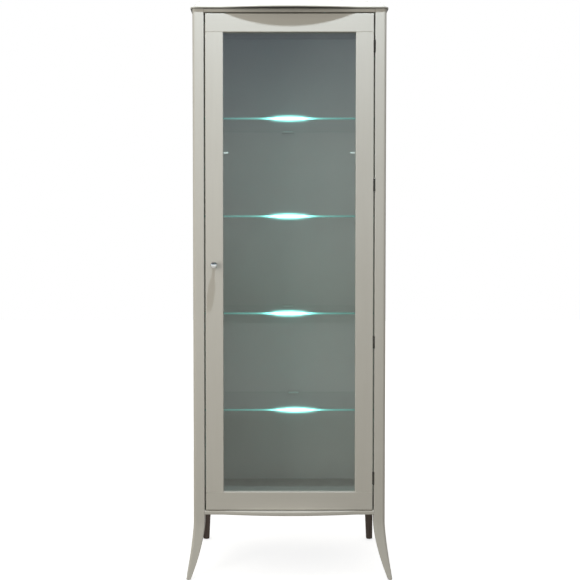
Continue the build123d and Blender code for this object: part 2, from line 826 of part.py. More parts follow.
save("door_top_rail", door_rail(True))
save("door_bottom_rail", door_rail(False))
save("door_hinge_stile", hinge_stile())
save("door_knob_stile", knob_stile())
save("door_dowels", group([door_dowel(x, z, 0) for x, z in dowel_places()]))
save("door_glass", door_glass())
save("glazing_bead_top", glazing_bead(False, 1))
save("glazing_bead_bottom", glazing_bead(False, -1))
save("glazing_bead_left", glazing_bead(True, -1))
save("glazing_bead_right", glazing_bead(True, 1))
save("glass_clips", glass_clips())
save("door_knob", door_knob())
save("knob_screw", knob_screw())
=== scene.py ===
import logging
import math
from dataclasses import dataclass, field
from enum import Enum
from typing import Any, Callable, Iterable, Sequence

import bmesh
import bpy
from bpy.types import Material, Mesh, Node, NodeSocket, NodeTree, Object
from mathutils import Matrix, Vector


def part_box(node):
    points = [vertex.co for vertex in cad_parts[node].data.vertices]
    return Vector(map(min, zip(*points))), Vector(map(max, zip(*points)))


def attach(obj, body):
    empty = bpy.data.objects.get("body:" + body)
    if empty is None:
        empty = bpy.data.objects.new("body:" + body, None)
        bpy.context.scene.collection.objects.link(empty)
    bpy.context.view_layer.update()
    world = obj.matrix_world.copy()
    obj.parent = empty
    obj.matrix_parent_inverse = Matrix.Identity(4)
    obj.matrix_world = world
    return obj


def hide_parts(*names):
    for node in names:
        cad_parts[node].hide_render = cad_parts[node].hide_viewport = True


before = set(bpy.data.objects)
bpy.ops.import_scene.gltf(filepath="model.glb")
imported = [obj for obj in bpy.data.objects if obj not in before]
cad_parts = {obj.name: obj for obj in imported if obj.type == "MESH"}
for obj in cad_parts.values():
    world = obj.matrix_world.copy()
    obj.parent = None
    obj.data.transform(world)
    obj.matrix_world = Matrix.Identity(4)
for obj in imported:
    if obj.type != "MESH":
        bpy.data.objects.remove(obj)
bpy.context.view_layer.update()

logging.basicConfig(level=logging.INFO, format="%(name)s: %(message)s")
log = logging.getLogger("curio_cabinet")

MM = 0.001

Spot = tuple[float, float]
Point = tuple[float, float, float]
Colour = tuple[float, float, float]


# ---------------------------------------------------------------- node trees
class Nodes:
    """One node tree, with short calls that add nodes and join them."""

    def __init__(self, tree: NodeTree) -> None:
        """Starts from an empty tree.

        Args:
            tree: The tree to fill.
        """
        self.tree = tree
        tree.nodes.clear()

    def feed(self, socket: NodeSocket, value: Any) -> None:
        """Gives a socket a link or a plain value.

        Args:
            socket: The input to set.
            value: A node (its first output), an output socket or a plain value.
        """
        if isinstance(value, Node):
            value = value.outputs[0]
        if isinstance(value, NodeSocket):
            self.tree.links.new(value, socket)
        elif socket.type == "RGBA" and len(value) == 3:
            socket.default_value = (*value, 1.0)
        else:
            socket.default_value = value

    def add(self, kind: str, inputs: dict | None = None, **settings: Any) -> Node:
        """Adds a node.

        Args:
            kind: The node's type name.
            inputs: What to feed, by socket name or number.
            settings: The node's own properties.

        Returns:
            The new node.
        """
        node = self.tree.nodes.new(kind)
        for name, value in settings.items():
            setattr(node, name, value)
        for key, value in (inputs or {}).items():
            self.feed(node.inputs[key], value)
        return node

    def math(self, operation: str, *values: Any, clamp: bool = False) -> NodeSocket:
        """Adds a Math node and returns its result."""
        inputs = dict(enumerate(values))
        return self.add("ShaderNodeMath", inputs, operation=operation, use_clamp=clamp).outputs[0]

    def vector(self, operation: str, *values: Any) -> NodeSocket:
        """Adds a Vector Math node and returns its vector."""
        return self.add("ShaderNodeVectorMath", dict(enumerate(values)), operation=operation).outputs[0]

    def split(self, vector: Any) -> Any:
        """Adds a Separate XYZ and returns its three outputs."""
        return self.add("ShaderNodeSeparateXYZ", {0: vector}).outputs

    def dress(self, node: Node, **values: Any) -> None:
        """Feeds a node's inputs, with underscores for the spaces in their names."""
        for name, value in values.items():
            self.feed(node.inputs[name.replace("_", " ")], value)

    def bump(self, height: Any, distance: float, strength: float = 0.5) -> Node:
        """Adds a Bump node and returns it."""
        return self.add("ShaderNodeBump", {"Height": height, "Distance": distance, "Strength": strength})

    def remap(self, value: Any, low: Any, high: Any, to_low: Any = 0.0, to_high: Any = 1.0) -> NodeSocket:
        """Adds a smooth Map Range and returns its result."""
        ends = {"Value": value, "From Min": low, "From Max": high, "To Min": to_low, "To Max": to_high}
        return self.add("ShaderNodeMapRange", ends, interpolation_type="SMOOTHSTEP").outputs[0]

    def mix(self, factor: Any, first: Any, second: Any, blend: str = "MIX") -> NodeSocket:
        """Adds a colour Mix and returns its colour."""
        node = self.add("ShaderNodeMix", data_type="RGBA", blend_type=blend)
        for index, value in ((0, factor), (6, first), (7, second)):
            self.feed(node.inputs[index], value)
        return node.outputs[2]

    def noise(self, vector: Any, scale: Any, detail: float = 4.0, roughness: float = 0.55) -> NodeSocket:
        """Adds a Noise texture and returns its value."""
        inputs = {"Vector": vector, "Scale": scale, "Detail": detail, "Roughness": roughness}
        return self.add("ShaderNodeTexNoise", inputs).outputs[0]

    def blend(self, first: Node, second: Node, share: Any) -> None:
        """Puts a mix of two shaders on the material's output."""
        mixed = self.add("ShaderNodeMixShader", {0: share, 1: first, 2: second})
        self.feed(self.tree.nodes["Material Output"].inputs["Surface"], mixed)

    def group(self, tree: NodeTree, inputs: dict) -> Node:
        """Adds a node group with its inputs fed."""
        return self.add("ShaderNodeGroup", inputs, node_tree=tree)


def new_group(name: str, kind: str, inputs: dict[str, str | float],
              outputs: dict[str, str]) -> tuple[Nodes, Any, Any]:
    """Makes a node group with named sockets.

    Args:
        name: The group's name.
        kind: ShaderNodeTree or GeometryNodeTree.
        inputs: For each input its number, or the socket type of one that has none.
        outputs: For each output its socket type.

    Returns:
        The tree's nodes, its given values and its results.
    """
    tree = bpy.data.node_groups.new(name, kind)
    for label, value in inputs.items():
        plain = isinstance(value, str)
        what = value if plain else type(value).__name__.capitalize()
        socket = tree.interface.new_socket(label, in_out="INPUT", socket_type=f"NodeSocket{what}")
        if not plain:
            socket.default_value = value
    for label, what in outputs.items():
        tree.interface.new_socket(label, in_out="OUTPUT", socket_type=f"NodeSocket{what}")
    nodes = Nodes(tree)
    return nodes, nodes.add("NodeGroupInput").outputs, nodes.add("NodeGroupOutput").inputs


# ---------------------------------------------------------------- effects that finishes share
class Effects:
    """The shader groups that more than one finish uses."""

    def __init__(self) -> None:
        """Builds each group once."""
        self.grain = self.build_grain()
        self.arris = self.build_arris()
        self.wear = self.build_wear()
        self.handling = self.build_handling()
        self.dust = self.build_dust()
        self.brushing = self.build_brushing()

    @staticmethod
    def build_grain() -> NodeTree:
        """Returns the timber grain: fine pores and a broad figure, both drawn out along the board."""
        inputs = {
            "Vector": "Vector",
            "Pore Scale": 60.0,
            "Figure Scale": 9.0,
            "Waviness": 0.25,
        }
        outputs = {"Pores": "Float", "Figure": "Float"}
        nodes, given, result = new_group("timber_grain", "ShaderNodeTree", inputs, outputs)
        drift = nodes.add("ShaderNodeTexNoise", {"Vector": given["Vector"], "Scale": 2.0})
        offset = nodes.vector("SUBTRACT", drift.outputs["Color"], (0.5, 0.5, 0.5))
        bent = nodes.add("ShaderNodeVectorMath", {0: offset, "Scale": given["Waviness"]}, operation="SCALE")
        place = nodes.vector("ADD", given["Vector"], bent)
        pores = nodes.noise(place, given["Pore Scale"], 6.0, 0.62)
        figure = nodes.noise(place, given["Figure Scale"], 3.0, 0.5)
        nodes.feed(result["Pores"], nodes.remap(pores, 0.42, 0.68))
        nodes.feed(result["Figure"], nodes.remap(figure, 0.3, 0.7))
        return nodes.tree

    @staticmethod
    def build_arris() -> NodeTree:
        """Returns the mask of a square-cut board's softened edges: 1 where it faces none of the axes."""
        inputs = {"Normal": "Vector"}
        nodes, given, result = new_group("arris_mask", "ShaderNodeTree", inputs, {"Arris": "Float"})
        size = nodes.vector("ABSOLUTE", given["Normal"])
        x, y, z = nodes.split(size)
        widest = nodes.math("MAXIMUM", x, nodes.math("MAXIMUM", y, z))
        nodes.feed(result["Arris"], nodes.remap(widest, 0.995, 0.9))
        return nodes.tree

    @staticmethod
    def build_wear() -> NodeTree:
        """Returns rubbed edges: the arris mask, broken up where hands have not reached."""
        inputs = {
            "Vector": "Vector",
            "Arris": 0.0,
            "Amount": 0.5,
            "Patch Scale": 14.0,
        }
        nodes, given, result = new_group("edge_wear", "ShaderNodeTree", inputs, {"Wear": "Float"})
        patches = nodes.noise(given["Vector"], given["Patch Scale"], 5.0, 0.7)
        rubbed = nodes.remap(patches, nodes.math("SUBTRACT", 0.95, given["Amount"]), 0.9)
        nodes.feed(result["Wear"], nodes.math("MULTIPLY", rubbed, given["Arris"], clamp=True))
        return nodes.tree

    @staticmethod
    def build_handling() -> NodeTree:
        """Returns the soft unevenness of a sprayed and handled surface, and its fine texture as a height."""
        inputs = {
            "Vector": "Vector",
            "Blotch Scale": 4.0,
            "Texture Scale": 420.0,
        }
        outputs = {"Blotch": "Float", "Smudge": "Float", "Texture": "Float"}
        nodes, given, result = new_group("handling", "ShaderNodeTree", inputs, outputs)
        place = given["Vector"]
        blotch = nodes.noise(place, given["Blotch Scale"], 3.0, 0.55)
        smudge = nodes.noise(place, nodes.math("MULTIPLY", given["Blotch Scale"], 7.0), 5.0, 0.65)
        nodes.feed(result["Blotch"], nodes.remap(blotch, 0.3, 0.7))
        nodes.feed(result["Smudge"], nodes.remap(smudge, 0.45, 0.75))
        nodes.feed(result["Texture"], nodes.noise(place, given["Texture Scale"], 2.0, 0.5))
        return nodes.tree

    @staticmethod
    def build_dust() -> NodeTree:
        """Returns the light dust that settles on what faces up."""
        inputs = {
            "Vector": "Vector",
            "Normal": "Vector",
            "Amount": 0.3,
        }
        nodes, given, result = new_group("settled_dust", "ShaderNodeTree", inputs, {"Dust": "Float"})
        upward = nodes.remap(nodes.split(given["Normal"])[2], 0.6, 0.98)
        patches = nodes.remap(nodes.noise(given["Vector"], 22.0, 6.0, 0.7), 0.35, 0.75)
        share = nodes.math("MULTIPLY", nodes.math("MULTIPLY", upward, patches), given["Amount"])
        nodes.feed(result["Dust"], share)
        return nodes.tree

    @staticmethod
    def build_brushing() -> NodeTree:
        """Returns fine parallel scratches for metal, and larger tarnish patches."""
        inputs = {
            "Vector": "Vector",
            "Scratch Scale": 900.0,
            "Patch Scale": 60.0,
        }
        outputs = {"Scratches": "Float", "Patches": "Float"}
        nodes, given, result = new_group("brushing", "ShaderNodeTree", inputs, outputs)
        drawn = nodes.vector("MULTIPLY", given["Vector"], (1.0, 1.0, 0.06))
        nodes.feed(result["Scratches"], nodes.noise(drawn, given["Scratch Scale"], 3.0, 0.6))
        patches = nodes.noise(given["Vector"], given["Patch Scale"], 4.0, 0.6)
        nodes.feed(result["Patches"], nodes.remap(patches, 0.35, 0.7))
        return nodes.tree


# ---------------------------------------------------------------- finishes
class Grain(Enum):
    """Which way a board's grain runs, as the scale of its pattern along each axis."""

    UPRIGHT = (1.0, 1.0, 0.03)
    LEVEL = (0.03, 1.0, 1.0)


class EdgeSource(Enum):
    """Where a board's edge mask comes from: its normals, or an attribute of a curved piece's own mesh."""

    NORMALS = "normals"
    ATTRIBUTE = "arris"


@dataclass(frozen=True)
class Finish:
    """What every finish shares: its name, and the start of its material."""

    name: str

    def start(self, effects: Effects, blotch: float, texture: float) -> tuple:
        """Begins the material.

        Args:
            effects: The shared shader groups.
            blotch: The scale of the surface's unevenness.
            texture: The scale of its fine texture.

        Returns:
            The material, its nodes, its shader, the object's coordinates and the handling group's outputs.
        """
        material, nodes, shader = new_material(self.name)
        where = nodes.add("ShaderNodeTexCoord").outputs["Object"]
        handling = {"Vector": where, "Blotch Scale": blotch, "Texture Scale": texture}
        return material, nodes, shader, where, nodes.group(effects.handling, handling).outputs


@dataclass(frozen=True)
class Lacquer(Finish):
    """Satin lacquer on timber whose grain shows through a little.

    Faces that look up (side 1) or down (-1) behind a set depth can be painted a darker set colour: painted
    shade.
    """

    grain: Grain
    edges: EdgeSource = EdgeSource.NORMALS
    colour: Colour = (0.60, 0.58, 0.525)
    shade: Colour = (0.53, 0.51, 0.455)
    rubbed: Colour = (0.70, 0.685, 0.64)
    dust: Colour = (0.66, 0.65, 0.62)
    wear: float = 0.42
    gloss: float = 0.38
    smudged: float = 0.14
    shine: float = 0.3
    # Painted shade: its colour, the way its faces look and the depth behind which it starts.
    shaded: Colour | None = None
    shaded_side: float = 1.0
    shaded_from: float = -0.145
    relief: float = 0.00012
    pore_scale: float = 210.0
    figure_scale: float = 17.0
    figure_share: float = 0.35
    pore_share: float = 0.16
    blotch_share: float = 0.10

    def build(self, effects: Effects) -> Material:
        """Returns the material."""
        material, nodes, shader, where, handled = self.start(effects, 5.0, 380.0)
        normal = nodes.add("ShaderNodeTexCoord").outputs["Normal"]
        along = nodes.add("ShaderNodeMapping", {"Vector": where, "Scale": self.grain.value})
        scales = {"Vector": along, "Pore Scale": self.pore_scale, "Figure Scale": self.figure_scale}
        grain = nodes.group(effects.grain, scales).outputs
        if self.edges is EdgeSource.NORMALS:
            arris = nodes.group(effects.arris, {"Normal": normal})
        else:
            arris = nodes.add("ShaderNodeAttribute", attribute_name=self.edges.value).outputs["Fac"]
        wear = nodes.group(effects.wear, {"Vector": where, "Arris": arris, "Amount": self.wear}).outputs[0]
        dust = nodes.group(effects.dust, {"Vector": where, "Normal": normal, "Amount": 0.25})
        painted = self.colour
        for mask, share, over in (
            (grain["Figure"], self.figure_share, self.shade),
            (grain["Pores"], self.pore_share, self.shade),
            (handled["Blotch"], self.blotch_share, self.rubbed),
            (wear, 0.7, self.rubbed),
            (dust, 1.0, self.dust),
        ):
            painted = nodes.mix(nodes.math("MULTIPLY", mask, share), painted, over)
        # Painted shade: faces that look the set way behind the set depth take the darker colour.
        if self.shaded is not None:
            within = nodes.remap(nodes.split(where)[1], self.shaded_from, self.shaded_from + 2 * MM)
            facing = nodes.remap(nodes.math("MULTIPLY", nodes.split(normal)[2], self.shaded_side), 0.6, 0.95)
            painted = nodes.mix(nodes.math("MULTIPLY", within, facing), painted, self.shaded)
        sheen = nodes.remap(handled["Smudge"], 0.0, 1.0, self.gloss, self.gloss + self.smudged)
        worn = nodes.math("ADD", sheen, nodes.math("MULTIPLY", wear, 0.12))
        ridges = nodes.math("ADD", nodes.math("MULTIPLY", grain["Pores"], -0.6), handled["Texture"])
        nodes.dress(shader, Base_Color=painted, Roughness=nodes.math("ADD", worn, dust, clamp=True),
                    Normal=nodes.bump(ridges, self.relief), Specular_IOR_Level=self.shine)
        return material


@dataclass(frozen=True)
class StainedTimber(Finish):
    """Bare or stained timber with an open grain."""

    grain: Grain
    colour: Colour
    dark: Colour
    roughness: float = 0.45
    pore_scale: float = 260.0
    figure_scale: float = 60.0
    figure_share: float = 0.6
    rubbed_gain: float = 2.2
    relief: float = 0.0002

    def build(self, effects: Effects) -> Material:
        """Returns the material."""
        material, nodes, shader = new_material(self.name)
        place = nodes.add("ShaderNodeTexCoord").outputs
        along = nodes.add("ShaderNodeMapping", {"Vector": place["Object"], "Scale": self.grain.value})
        scales = {"Vector": along, "Pore Scale": self.pore_scale, "Figure Scale": self.figure_scale}
        grain = nodes.group(effects.grain, scales).outputs
        arris = nodes.group(effects.arris, {"Normal": place["Normal"]})
        wear = nodes.group(effects.wear, {"Vector": place["Object"], "Arris": arris, "Amount": 0.45})
        tone = nodes.math("ADD", nodes.math("MULTIPLY", grain["Figure"], self.figure_share),
                          nodes.math("MULTIPLY", grain["Pores"], 1.0 - self.figure_share))
        stained = nodes.mix(tone, self.colour, self.dark)
        light = tuple(min(1.0, channel) for channel in scaled(self.colour, self.rubbed_gain))
        bump = nodes.add("ShaderNodeBump", {"Height": grain["Pores"], "Distance": self.relief}, invert=True)
        worn = nodes.mix(nodes.math("MULTIPLY", wear, 0.5), stained, light)
        rough = nodes.remap(grain["Pores"], 0.0, 1.0, self.roughness, self.roughness + 0.2)
        nodes.dress(shader, Base_Color=worn, Normal=bump, Roughness=rough)
        return material


@dataclass(frozen=True)
class Metal(Finish):
    """Brushed or polished metal."""

    colour: Colour
    tarnish: Colour
    roughness: float
    scratches: float = 0.00002

    def build(self, effects: Effects) -> Material:
        """Returns the material."""
        material, nodes, shader = new_material(self.name)
        where = nodes.add("ShaderNodeTexCoord").outputs["Object"]
        brushed = nodes.group(effects.brushing, {"Vector": where}).outputs
        tone = nodes.mix(nodes.math("MULTIPLY", brushed["Patches"], 0.5), self.colour, self.tarnish)
        rough = nodes.remap(brushed["Scratches"], 0.3, 0.7, self.roughness, self.roughness + 0.1)
        nodes.dress(shader, Base_Color=tone, Roughness=rough, Metallic=1.0,
                    Normal=nodes.bump(brushed["Scratches"], self.scratches, 0.4))
        return material


@dataclass(frozen=True)
class Plastic(Finish):
    """Moulded plastic with a fine texture."""

    colour: Colour
    roughness: float = 0.4
    clear: float = 0.0
    relief: float = 0.00006

    def build(self, effects: Effects) -> Material:
        """Returns the material."""
        material, nodes, shader, _, handled = self.start(effects, 40.0, 1600.0)
        tone = nodes.mix(nodes.math("MULTIPLY", handled["Blotch"], 0.6), self.colour, scaled(self.colour, 0.85))
        rough = nodes.remap(handled["Smudge"], 0.0, 1.0, self.roughness, self.roughness + 0.12)
        nodes.dress(shader, Base_Color=tone, Roughness=rough, Transmission_Weight=self.clear,
                    Normal=nodes.bump(handled["Texture"], self.relief))
        return material


@dataclass(frozen=True)
class ClearGlass(Finish):
    """A thin polished sheet: it mirrors a little by angle, tints what is behind it and carries faint smears."""

    tint: Colour
    roughness: float = 0.02
    reflect: float = 1.45

    def build(self, effects: Effects) -> Material:
        """Returns the material."""
        material, nodes, shader, _, handled = self.start(effects, 3.0, 40.0)
        nodes.tree.nodes.remove(shader)
        tone = nodes.mix(nodes.math("MULTIPLY", handled["Blotch"], 0.5), self.tint, scaled(self.tint, 0.94))
        smear = nodes.remap(handled["Smudge"], 0.0, 1.0, self.roughness, self.roughness + 0.05)
        see = nodes.add("ShaderNodeBsdfTransparent", {"Color": tone})
        mirror = nodes.add("ShaderNodeBsdfGlossy", {"Color": (1, 1, 1), "Roughness": smear})
        facing = nodes.add("ShaderNodeFresnel", {"IOR": self.reflect})
        outside = nodes.math("SUBTRACT", 1.0, nodes.add("ShaderNodeNewGeometry").outputs["Backfacing"])
        nodes.blend(see, mirror, nodes.math("MULTIPLY", facing, outside))
        return material


@dataclass(frozen=True)
class LitGlass(Finish):
    """A glass edge that carries the light let in behind it. The mesh's own attribute says how much arrives."""

    tint: Colour
    glow: Colour
    strength: float
    body: float
    reach: str = "lit"

    def build(self, effects: Effects) -> Material:
        """Returns the material."""
        material, nodes, shader, _, handled = self.start(effects, 9.0, 300.0)
        arrives = nodes.add("ShaderNodeAttribute", attribute_name=self.reach).outputs["Fac"]
        light = nodes.math("MULTIPLY", arrives, nodes.remap(handled["Smudge"], 0.0, 1.0, 1.0, 0.8))
        nodes.dress(shader, Base_Color=nodes.mix(handled["Blotch"], self.tint, scaled(self.tint, 0.8)),
                    Emission_Color=nodes.mix(light, (0, 0, 0), self.glow), Emission_Strength=self.strength,
                    Roughness=nodes.remap(handled["Smudge"], 0.0, 1.0, 0.05, 0.15))
        nodes.blend(nodes.add("ShaderNodeBsdfTransparent", {"Color": self.tint}), shader, self.body)
        return material


@dataclass(frozen=True)
class LampLens(Finish):
    """The diffusing lens over a small lamp."""

    colour: Colour
    strength: float
    body: Colour = (0.8, 0.9, 0.9)
    smudged: Colour = (0.7, 0.8, 0.8)

    def build(self, effects: Effects) -> Material:
        """Returns the material."""
        material, nodes, shader, _, handled = self.start(effects, 80.0, 420.0)
        glow = nodes.mix(handled["Blotch"], self.colour, scaled(self.colour, 0.8))
        body = nodes.mix(handled["Smudge"], self.body, self.smudged)
        nodes.dress(shader, Emission_Color=glow, Emission_Strength=self.strength)
        nodes.dress(shader, Base_Color=body, Roughness=0.5)
        return material


def scaled(colour: Colour, share: float) -> Colour:
    """Returns a colour with each channel multiplied by a share."""
    return tuple(channel * share for channel in colour)


def new_material(name: str) -> tuple[Material, Nodes, Node]:
    """Makes a material with a Principled shader on its output.

    Args:
        name: The material's name.

    Returns:
        The material, its nodes and the shader.
    """
    material = bpy.data.materials.new(name)
    material.use_nodes = True
    nodes = Nodes(material.node_tree)
    shader = nodes.add("ShaderNodeBsdfPrincipled")
    nodes.add("ShaderNodeOutputMaterial", {"Surface": shader})
    return material, nodes, shader


class Finishes:
    """Every finish of the cabinet, built once."""

    def __init__(self) -> None:
        """Builds the shared effects and then the materials."""
        effects = Effects()
        recipes = [
            Lacquer("lacquer_upright", Grain.UPRIGHT),
            Lacquer("lacquer_level", Grain.LEVEL),
            Lacquer("lacquer_posts", Grain.UPRIGHT, EdgeSource.ATTRIBUTE),
            Lacquer("lacquer_inside", Grain.UPRIGHT, colour=(0.49, 0.52, 0.52), shade=(0.46, 0.49, 0.49)),
            # Painted shade: the ceiling panel is painted dark grey, as it stands unlit inside the cabinet's
            # top.
            Lacquer("lacquer_ceiling", Grain.LEVEL, colour=(0.20, 0.20, 0.20), shade=(0.18, 0.18, 0.18)),
            # Painted shade: the bottom board's upward faces behind its front edge are painted darker, inside
            # the cabinet.
            Lacquer("lacquer_floor", Grain.LEVEL, EdgeSource.ATTRIBUTE, shaded=(0.33, 0.335, 0.315)),
            # Painted shade: a darker copy of the lacquer for the top board's flat top face, which the overhead
            # lamp lights strongly.
            Lacquer("lacquer_crown", Grain.LEVEL, colour=(0.40, 0.385, 0.345), shade=(0.35, 0.335, 0.30)),
            # Painted shadow: the top board's downward faces are painted near black, under the overhang.
            Lacquer("lacquer_top", Grain.LEVEL, EdgeSource.ATTRIBUTE,
                    shaded=(0.05, 0.048, 0.045), shaded_side=-1.0, shaded_from=-1.0),
            # The rear legs are coloured a very dark brown.
            StainedTimber("dark_stain", Grain.UPRIGHT, (0.10, 0.072, 0.060), (0.052, 0.036, 0.030)),
            StainedTimber("beech", Grain.UPRIGHT, (0.55, 0.38, 0.22), (0.42, 0.27, 0.15)),
            Metal("chrome", (0.86, 0.87, 0.88), (0.74, 0.75, 0.77), 0.06),
            Metal("browned_steel", (0.10, 0.095, 0.085), (0.05, 0.047, 0.042), 0.42),
            Metal("satin_steel", (0.66, 0.65, 0.63), (0.48, 0.47, 0.45), 0.26),
            Metal("zinc_steel", (0.62, 0.62, 0.58), (0.46, 0.46, 0.42), 0.34),
            Metal("magnet_plate", (0.42, 0.42, 0.43), (0.30, 0.30, 0.31), 0.38),
            Metal("bright_clip", (0.93, 0.93, 0.91), (0.86, 0.86, 0.84), 0.22),
            Plastic("light_housing", (0.44, 0.47, 0.45), 0.45),
            Plastic("pale_plastic", (0.72, 0.72, 0.69), 0.42),
            Plastic("glide_plastic", (0.78, 0.77, 0.73), 0.38),
            Plastic("black_plastic", (0.02, 0.02, 0.022), 0.36),
            Plastic("clear_pad", (0.85, 0.88, 0.86), 0.2, clear=0.8),
            ClearGlass("door_glass", (0.92, 0.95, 0.94), reflect=1.9),
            ClearGlass("shelf_glass", (0.975, 0.99, 0.985), reflect=1.2),
            ClearGlass("shelf_rim", (0.90, 0.965, 0.94), reflect=1.2),
            LitGlass("shelf_edge", (0.06, 0.20, 0.16), glow=(0.25, 1.0, 0.90), strength=20.0, body=0.75),
            LampLens("light_lens", (0.35, 1.0, 0.93), 0.04),
        ]
        self.made = {recipe.name: recipe.build(effects) for recipe in recipes}

    def __getitem__(self, name: str) -> Material:
        """Returns the material with that name."""
        return self.made[name]


# ---------------------------------------------------------------- meshes
def link(name: str, mesh: Mesh) -> Object:
    """Puts a mesh in the scene as an object at the origin."""
    piece = bpy.data.objects.new(name, mesh)
    bpy.context.scene.collection.objects.link(piece)
    return piece


def solid_from(name: str, work: bmesh.types.BMesh) -> Object:
    """Turns a bmesh into an object, merged and with its faces outwards.

    Args:
        name: The piece's name.
        work: The bmesh, which is freed.

    Returns:
        The new object.
    """
    bmesh.ops.remove_doubles(work, verts=work.verts, dist=1e-7)
    bmesh.ops.recalc_face_normals(work, faces=work.faces)
    mesh = bpy.data.meshes.new(name)
    work.to_mesh(mesh)
    work.free()
    return link(name, mesh)


def baked(piece: Object) -> Object:
    """Turns a piece's modifiers into plain mesh and removes them."""
    graph = bpy.context.evaluated_depsgraph_get()
    ready = piece.evaluated_get(graph)
    mesh = bpy.data.meshes.new_from_object(ready, preserve_all_data_layers=True, depsgraph=graph)
    piece.modifiers.clear()
    piece.data = mesh
    mesh.name = piece.name
    return piece


def even_shading(piece: Object, angle: float = 40.0) -> Object:
    """Shades a piece smooth, with its broad faces kept flat and its sharp edges kept sharp.

    Args:
        piece: The piece.
        angle: The turn in degrees past which an edge is sharp.

    Returns:
        The same piece.
    """
    piece.data.shade_smooth()
    piece.data.set_sharp_from_angle(angle=math.radians(angle))
    weighted = piece.modifiers.new("even", "WEIGHTED_NORMAL")
    weighted.keep_sharp = True
    weighted.mode = "FACE_AREA"
    return baked(piece)


def paint(piece: Object, *materials: Material) -> Object:
    """Gives a new piece its materials, in the order of its faces' material numbers."""
    for material in materials:
        piece.data.materials.append(material)
    return piece


def repaint(finish: Material, *names: str) -> None:
    """Gives CAD nodes a finish in each of their slots."""
    for name in names:
        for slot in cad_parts[name].material_slots:
            slot.material = finish


def rings_to_solid(name: str, rings: Sequence[Sequence[Point]]) -> Object:
    """Joins closed rings of equal length, the lowest first, into a solid with flat caps.

    Args:
        name: The piece's name.
        rings: The rings of points.

    Returns:
        The new object.
    """
    work = bmesh.new()
    levels = [[work.verts.new(point) for point in ring] for ring in rings]
    count = len(levels[0])
    for low, high in zip(levels, levels[1:]):
        for n in range(count):
            m = (n + 1) % count
            work.faces.new((low[n], low[m], high[m], high[n]))
    work.faces.new(levels[0])
    work.faces.new(levels[-1])
    return solid_from(name, work)


def turned(name: str, profile: Sequence[Spot], steps: int = 48) -> Object:
    """Turns a profile about the Z axis into a closed solid.

    Args:
        name: The piece's name.
        profile: (radius, z) from the foot to the tip, with both ends on the axis.
        steps: How many sides the solid has.

    Returns:
        The new object.
    """
    work = bmesh.new()
    rings = []
    for radius, z in profile:
        angles = [math.tau * n / steps for n in range(steps)]
        spots = [(radius * math.cos(angle), radius * math.sin(angle)) for angle in angles]
        if radius < 1e-9:
            spots = [(0.0, 0.0)]
        rings.append([work.verts.new((x, y, z)) for x, y in spots])
    for low, high in zip(rings, rings[1:]):
        for n in range(steps):
            m = (n + 1) % steps
            corners = [low[n % len(low)], low[m % len(low)], high[m % len(high)], high[n % len(high)]]
            work.faces.new(list(dict.fromkeys(corners)))
    return solid_from(name, work)


def arc(centre: Spot, radius: float, start: float, end: float, steps: int) -> list[Spot]:
    """Returns points on an arc, with its angles in degrees."""
    turns = [math.radians(start + (end - start) * n / steps) for n in range(steps + 1)]
    return [(centre[0] + radius * math.cos(turn), centre[1] + radius * math.sin(turn)) for turn in turns]


def carve(piece: Object, boxes: Iterable[tuple[Point, Point]]) -> Object:
    """Cuts boxes out of a piece.

    Args:
        piece: The piece.
        boxes: Each box's lowest and highest corner.

    Returns:
        The same piece.
    """
    work = bmesh.new()
    for low, high in boxes:
        made = bmesh.ops.create_cube(work, size=1.0)
        for vert in made["verts"]:
            vert.co = [low[n] + (high[n] - low[n]) * (vert.co[n] + 0.5) for n in range(3)]
    cutter = solid_from("cutter", work)
    cut = piece.modifiers.new("cut", "BOOLEAN")
    cut.operation, cut.solver, cut.object = "DIFFERENCE", "EXACT", cutter
    baked(piece)
    bpy.data.objects.remove(cutter)
    return piece


def mark_arris(piece: Object, test: Callable[[Vector], float]) -> Object:
    """Stores how much each vertex lies on a softened edge.

    Args:
        piece: The piece.
        test: Gives that share for a vertex's place.

    Returns:
        The same piece.
    """
    layer = piece.data.attributes.new(EdgeSource.ATTRIBUTE.value, "FLOAT", "POINT")
    layer.data.foreach_set("value", [test(vert.co) for vert in piece.data.vertices])
    return piece


def islands(node: str) -> list[tuple[Vector, Vector]]:
    """Finds the separate solids of a CAD node.

    Args:
        node: The node's name.

    Returns:
        Each solid's lowest and highest corner, in the order of their heights.
    """
    work = bmesh.new()
    work.from_mesh(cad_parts[node].data)
    bmesh.ops.remove_doubles(work, verts=work.verts, dist=1e-6)
    left = set(work.verts)
    boxes = []
    while left:
        seed = left.pop()
        found, edge = [seed], [seed]
        while edge:
            near = [e.other_vert(v) for v in edge for e in v.link_edges]
            edge = [v for v in dict.fromkeys(near) if v in left]
            left.difference_update(edge)
            found += edge
        spots = [v.co for v in found]
        boxes.append(tuple(Vector(pick(p[n] for p in spots) for n in range(3)) for pick in (min, max)))
    work.free()
    return sorted(boxes, key=lambda box: tuple(round(box[0][axis], 4) for axis in (2, 0, 1)))


